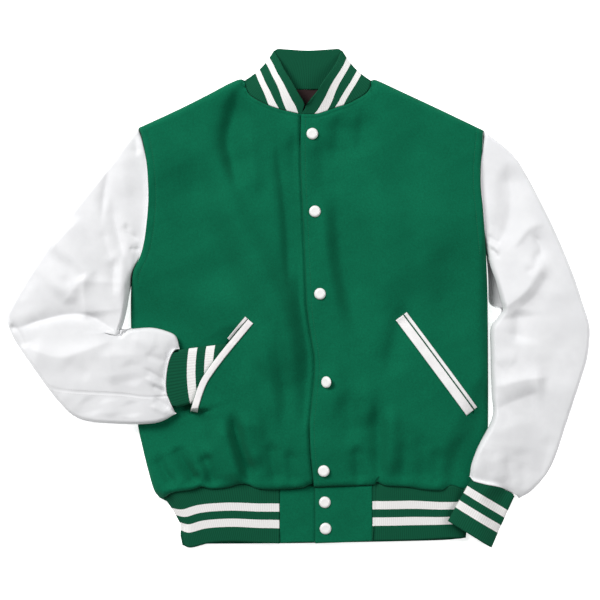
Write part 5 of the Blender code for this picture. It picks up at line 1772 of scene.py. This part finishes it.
@dataclass
class Waistband:
    """The rib-knit waistband and its two wool tabs."""

    ribs: Ribs = Ribs(3.0)
    rows: int = 26
    right_count: int = 52
    back_count: int = 160
    left_count: int = 50
    tab_grid: tuple[int, int] = (60, 50)

    def build(self, body: BodyPanels, finishes: Finishes) -> Array:
        """Makes the three meshes and returns the upper tab's points."""
        right_hem, left_hem = body.right[0], body.left[0]
        counts = [self.ribs.columns(n) for n in (self.right_count, self.back_count, self.left_count)]
        right = self.stretch(right_hem, right_hem[0, 0], TAB_JOINT_RIGHT - SEAM_GAP)
        left = self.stretch(left_hem, TAB_JOINT_LEFT + SEAM_GAP, left_hem[-1, 0])
        right, behind, left = (outward(line, SEAM_GAP, False) for line in (right, body.back[0], left))
        lines = (right[::-1], behind, left[::-1])
        right, behind, left = (resampled(line, n) for line, n in zip(lines, counts))
        edges = [
            resampled(Line(rows).dense(), n)
            for rows, n in zip((WAIST_RIGHT_EDGE, WAIST_BACK_EDGE, WAIST_LEFT_EDGE[::-1]), counts)
        ]
        keep_above(edges[1])
        seam = np.vstack([right, behind[1:-1], left])
        edge = np.vstack([edges[0], edges[1][1:-1], edges[2]])
        points = self.bowed(band(seam, edge, self.rows), counts[0] - 1)
        count = self.right_count + self.back_count + self.left_count
        pattern = rib_pattern(points, count, self.ribs.pitch)
        pattern[..., 1] *= 1 + WAIST_STRETCH * WAIST_STRETCHED.at(points[..., 0])
        ribbed = self.ribs.raise_on(points, count, False)
        keep_above(ribbed)
        knit = Sheet("waist_knit", ribbed, KNIT_WALL, pattern=pattern)
        knit.lay(finishes.waist, "waistband_knit", "knit")
        under = self.stretch(right_hem, TAB_JOINT_RIGHT, right_hem[-1, 0] - TAB_INSET)
        self.tab("under_tab", under, TAB_RIGHT_EDGE, "waistband_tab_right", finishes)
        upper = self.stretch(left_hem, left_hem[0, 0] + TAB_INSET, TAB_JOINT_LEFT)
        return self.tab("upper_tab", upper, TAB_LEFT_EDGE, "waistband_tab_left", finishes)

    def bowed(self, points: Array, fold: int) -> Array:
        """Moves the columns round the side fold sideways, as the gathers draw it in."""
        shares = np.linspace(0, 1, len(points))
        bow = np.interp(shares, *np.array(FOLD_BOW).T)
        away = np.hypot(*(points[..., :2] - points[:, fold:fold + 1, :2]).transpose(2, 0, 1))
        points[..., 0] += bow[:, None] * smooth(1 - away / FOLD_BOW_REACH)
        return points

    @staticmethod
    def stretch(line: Array, start_x: float, end_x: float, margin: float = 0.5) -> Array:
        """The stretch of a hem between two places across; its points keep a margin from both."""
        line = line[np.argsort(line[:, 0])]
        inside = line[(line[:, 0] > start_x + margin) & (line[:, 0] < end_x - margin), :3]
        ends = [[x, *(np.interp(x, line[:, 0], line[:, k]) for k in (1, 2))] for x in (start_x, end_x)]
        return np.vstack([ends[:1], inside, ends[1:]])

    def tab(self, name: str, hem: Array, edge: Rows, node: str, finishes: Finishes) -> Array:
        """Makes one wool tab, its edges turned down a little, and returns its points."""
        columns, rows = self.tab_grid
        seam = resampled(outward(hem, SEAM_GAP, False), columns)
        points = band(seam, resampled(Line(edge).dense(), columns), rows)
        soft = turned_down(points, TAB_ROLL)
        points[..., 2] += TAB_TURN * (soft - 1) + unevenness(points[..., 0], points[..., 1], TAB_WAVES)
        Sheet(name, points, WOOL_WALL, down=True).lay(finishes.wool, node, "wool")
        return points


# -------------------------------------------------- pockets and lining


@dataclass
class Welt:
    """One lip of a pocket: a folded strip that lies beside the slit."""

    name: str
    node: str
    slit: Rows
    near: float
    far: float
    start: float = 0.0
    end: float = 1.0
    length_steps: int = 150
    width_steps: int = 22
    crowding: float = 0.6
    thickness: float = 1.9

    def build(self, height: Height, finish: bpy.types.Material) -> None:
        """Makes the mesh on a surface with the given heights."""
        line = Line(self.slit).along(np.linspace(self.start, self.end, self.length_steps))
        tangent = np.gradient(line, axis=0)
        tangent /= np.hypot(*tangent.T)[:, None]
        normal = np.stack([tangent[:, 1], -tangent[:, 0]], axis=1)
        offsets = self.near + (self.far - self.near) * steps(self.width_steps, self.crowding)
        plan = line[None] + normal[None] * offsets[:, None, None]
        base = np.array([[height(x, y) for x, y in row] for row in plan])
        points = np.dstack([plan, base])
        points[..., 2] += WELT_LIFT + self.thickness * turned_down(points, WELT_ROLL)
        welt = Sheet(self.name, points, WELT_WALL, down=self.far > self.near)
        welt.lay(finish, self.node, "welt")


WELTS_OVER_CUFF = (Welt("right_pocket_lip", "welt_right_outer", RIGHT_SLIT, 0.5, 11.0, 0.03, 0.99),)
WELTS_ON_RIGHT = (Welt("right_pocket_back_lip", "welt_right_inner", RIGHT_SLIT, -0.5, -5.5, 0.74, 0.99),)
WELTS_ON_LEFT = (
    Welt("left_pocket_lip", "welt_left_inner", LEFT_SLIT, -0.7, -14.9),
    Welt("left_pocket_back_lip", "welt_left_outer", LEFT_SLIT, 1.0, 6.4),
)


@dataclass
class Lining:
    """The back neck lining, where it shows in the collar's opening."""

    depth: float = 46.0
    overlap: float = 3.4
    clearance: float = 1.6
    margin: float = 1.0
    span: tuple[float, float] = (0.12, 0.88)
    grid: tuple[int, int] = (80, 30)

    def build(self, body: BodyPanels, finishes: Finishes) -> None:
        """Makes the mesh, lying on the back panel."""
        line = Line(BACK_NECK).along(np.linspace(*self.span, self.grid[0]))[:, :2]
        height = heights_over(body.back)
        clear = WOOL_WALL + self.clearance
        rows = []
        for share in np.linspace(1, 0, self.grid[1]):
            inset = (self.depth + self.overlap) * share - self.overlap
            rows.append([(x, y - inset, height(x, y - max(inset, self.margin)) + clear) for x, y in line])
        points = np.array(rows)
        points[..., 2] += unevenness(points[..., 0], points[..., 1], LINING_WAVES)
        lining = Sheet("neck_lining", points, LINING_WALL)
        lining.lay(finishes.lining, "lining_neck", "lining")


# -------------------------------------------------- snaps and stitches


@dataclass
class Snap:
    """A domed snap cap with a thin flange."""

    number: int
    x: float
    y: float
    lean: float
    radius: float = 9.0
    rise: float = 3.4
    sides: int = 48
    probes: int = 16

    def build(self, height: Height, finish: bpy.types.Material) -> None:
        """Turns the cap's profile and seats it on a surface."""
        bm = bmesh.new()
        verts = [bm.verts.new((r * self.radius, 0, z * self.rise)) for r, z in SNAP_PROFILE]
        edges = [bm.edges.new(pair) for pair in zip(verts, verts[1:])]
        bmesh.ops.spin(
            bm, geom=[*verts, *edges], cent=(0, 0, 0), axis=(0, 0, 1), angle=2 * math.pi,
            steps=self.sides, use_merge=True,
        )
        bmesh.ops.remove_doubles(bm, verts=bm.verts, dist=MERGE_REACH)
        bmesh.ops.recalc_face_normals(bm, faces=bm.faces)
        tilt = math.radians(self.lean)
        angles = np.linspace(0, 2 * np.pi, self.probes)
        rim = [(SNAP_SEAT * math.cos(a) * math.cos(tilt), SNAP_SEAT * math.sin(a)) for a in angles]
        seat = max(height(self.x + dx, self.y + dy) - dx * math.tan(tilt) for dx, dy in [(0, 0), *rim])
        spot = Vector((self.x, self.y, seat + SNAP_GAP))
        turn = Matrix.Rotation(-tilt, 3, "Y")
        for vert in bm.verts:
            vert.co = (turn @ vert.co + spot) * MM
        piece = smooth_mesh(f"cap_{self.number}", bm)
        publish(piece, finish, f"snap_{self.number}", "snap")


@dataclass
class Stitching:
    """Rows of topstitches in one mesh; each row follows points x, y, z on a surface."""

    name: str
    rows: list[Array]
    length: float = 2.7
    pitch: float = 3.6
    thick: float = 0.55

    def build(self, finish: bpy.types.Material, slot: str) -> None:
        """Makes every stitch a short, round-ended thread."""
        bm = bmesh.new()
        for line in self.rows:
            gaps = np.linalg.norm(np.diff(line, axis=0), axis=1)
            lengths = np.concatenate([[0], np.cumsum(gaps)])
            starts = np.arange(self.pitch, lengths[-1] - self.pitch, self.pitch)
            ends = [
                np.stack([np.interp(starts + reach, lengths, column) for column in line.T], axis=1)
                for reach in (0, self.length)
            ]
            for a, b in zip(*ends):
                self.one(bm, Vector(a), Vector(b))
        publish(smooth_mesh(self.name, bm), finish, "", slot)

    def one(self, bm: bmesh.types.BMesh, start: Vector, end: Vector) -> None:
        """One stitch, its ends sunk in the cloth."""
        made = bmesh.ops.create_icosphere(bm, subdivisions=1, radius=0.5)["verts"]
        along = end - start
        turn = along.to_track_quat("X", "Z")
        middle = (start + end) / 2
        for vert in made:
            local = Vector((vert.co.x * along.length, vert.co.y * self.thick, vert.co.z * self.thick))
            vert.co = (turn @ local + middle) * MM


def beside(line: Array, distance: float, left_hand: bool, height: Height) -> Array:
    """A row of points beside a line, on a surface."""
    count = int(lengths_along(line)[-1] / STITCH_SPACING)
    plan = outward(resampled(line, count), distance, left_hand)
    return np.array([(x, y, height(x, y) + STITCH_LIFT) for x, y in plan[:, :2]])


def sew(body: BodyPanels, sleeves: list[Sleeve], finishes: Finishes) -> None:
    """Adds the rows of topstitches."""
    on_right, on_left = heights_over(body.right), heights_over(body.left)
    green = [
        beside(body.right[body.arm, 0], ARMHOLE_STITCH, False, on_right),
        beside(body.left[body.arm, -1], ARMHOLE_STITCH, True, on_left),
        beside(body.left[:, 0], PLACKET_STITCH, False, on_left),
    ]
    Stitching("green_stitches", green).build(finishes.green_thread, "wool")
    seam, on_sleeve = Line(FOREARM_SEAM).dense()[FOREARM_RUN], heights_over(sleeves[0].top)
    white = [beside(seam, FOREARM_STITCH, left_hand, on_sleeve) for left_hand in (False, True)]
    Stitching("white_stitches", white).build(finishes.white_thread, "sleeve")


# -------------------------------------------------- studio


@dataclass(frozen=True)
class Lamp:
    """A square soft light that faces the jacket; its size and place are in metres."""

    name: str
    power: float
    size: float
    place: tuple[float, float, float]

    def build(self) -> None:
        """Adds it to the scene."""
        light = bpy.data.lights.new(self.name, "AREA")
        light.energy, light.size = self.power, self.size
        lamp = linked(self.name, light)
        lamp.location = self.place
        lamp.rotation_euler = (-Vector(self.place)).to_track_quat("-Z", "Y").to_euler()


@dataclass(frozen=True)
class Studio:
    """A pale floor, soft lights and the camera straight above, in metres."""

    floor_size: float = 4.0
    floor_drop: float = 0.0005
    floor_tone: Colour = (0.96, 0.96, 0.96, 1)
    floor_glow: float = 0.70
    key: Lamp = Lamp("key", 560.0, 2.8, (-4.1, 3.8, 4.7))
    fill: Lamp = Lamp("fill", 84.0, 2.4, (3.2, 0.5, 3.3))
    air: float = 0.20

    def build(self) -> None:
        """Makes the floor, the lights and the camera."""
        bpy.ops.mesh.primitive_plane_add(size=self.floor_size, location=(0, 0, -self.floor_drop))
        floor = bpy.context.object
        floor.name = "floor"
        graph = Graph("floor_paper", Roughness=0.9, Specular_IOR_Level=0.1)
        tone, glow = self.floor_tone, self.floor_glow
        paper = graph.dress(Base_Color=tone, Emission_Color=tone, Emission_Strength=glow)
        floor.data.materials.append(paper)
        self.key.build()
        self.fill.build()
        world = bpy.data.worlds.new("air")
        world.use_nodes = True
        background = world.node_tree.nodes["Background"].inputs
        background["Color"].default_value = (1, 1, 1, 1)
        background["Strength"].default_value = self.air
        bpy.context.scene.world = world
        bpy.context.scene.view_settings.view_transform = "Standard"
        self.camera()

    @staticmethod
    def camera() -> None:
        """Adds the camera, straight above, with a long lens."""
        data = bpy.data.cameras.new("camera")
        data.sensor_width = SENSOR
        data.lens = SENSOR * (VIEW_HEIGHT - FOCUS_HEIGHT) / VIEW_WIDTH
        camera = linked("camera", data)
        camera.location = (VIEW_CENTRE[0] * MM, VIEW_CENTRE[1] * MM, VIEW_HEIGHT * MM)
        bpy.context.scene.camera = camera


def main() -> None:
    """Builds the jacket, piece by piece, and the studio round it."""
    logging.basicConfig(level=logging.INFO, format="%(message)s")
    finishes = Finishes.make()
    body = BodyPanels()
    body.build(finishes)
    sleeves = [
        Sleeve(Side.RIGHT, RIGHT_SLEEVE, RIGHT_CUFF_SEAM, RIGHT_SLEEVE_FOLDS, seams=(FOREARM_SEAM,)),
        Sleeve(Side.LEFT, LEFT_SLEEVE, LEFT_CUFF_SEAM, LEFT_SLEEVE_FOLDS, LEFT_UNDER_INNER),
    ]
    for sleeve in sleeves:
        sleeve.shape(body)
        sleeve.build(finishes)
    Cuff(Side.RIGHT, RIGHT_CUFF_SEAM, RIGHT_CUFF_START, RIGHT_CUFF_END).build(finishes)
    Cuff(Side.LEFT, LEFT_CUFF_SEAM, LEFT_CUFF_START, LEFT_CUFF_END).build(finishes)
    Collar().build(body, finishes)
    upper_tab = Waistband().build(body, finishes)
    Lining().build(body, finishes)
    on_right, on_left = heights_over(body.right), heights_over(body.left)
    on_beyond, on_tab = heights_over(body.right_slit.beyond), heights_over(upper_tab)
    surfaces = ((WELTS_OVER_CUFF, on_beyond), (WELTS_ON_RIGHT, on_right), (WELTS_ON_LEFT, on_left))
    for welts, surface in surfaces:
        for welt in welts:
            welt.build(surface, finishes.welt)
    for number, (x, y, lean) in enumerate(SNAPS, start=1):
        Snap(number, x, y, lean).build(on_left if y > TAB_TOP else on_tab, finishes.cap)
    sew(body, sleeves, finishes)
    Studio().build()


if __name__ == "__main__":
    main()
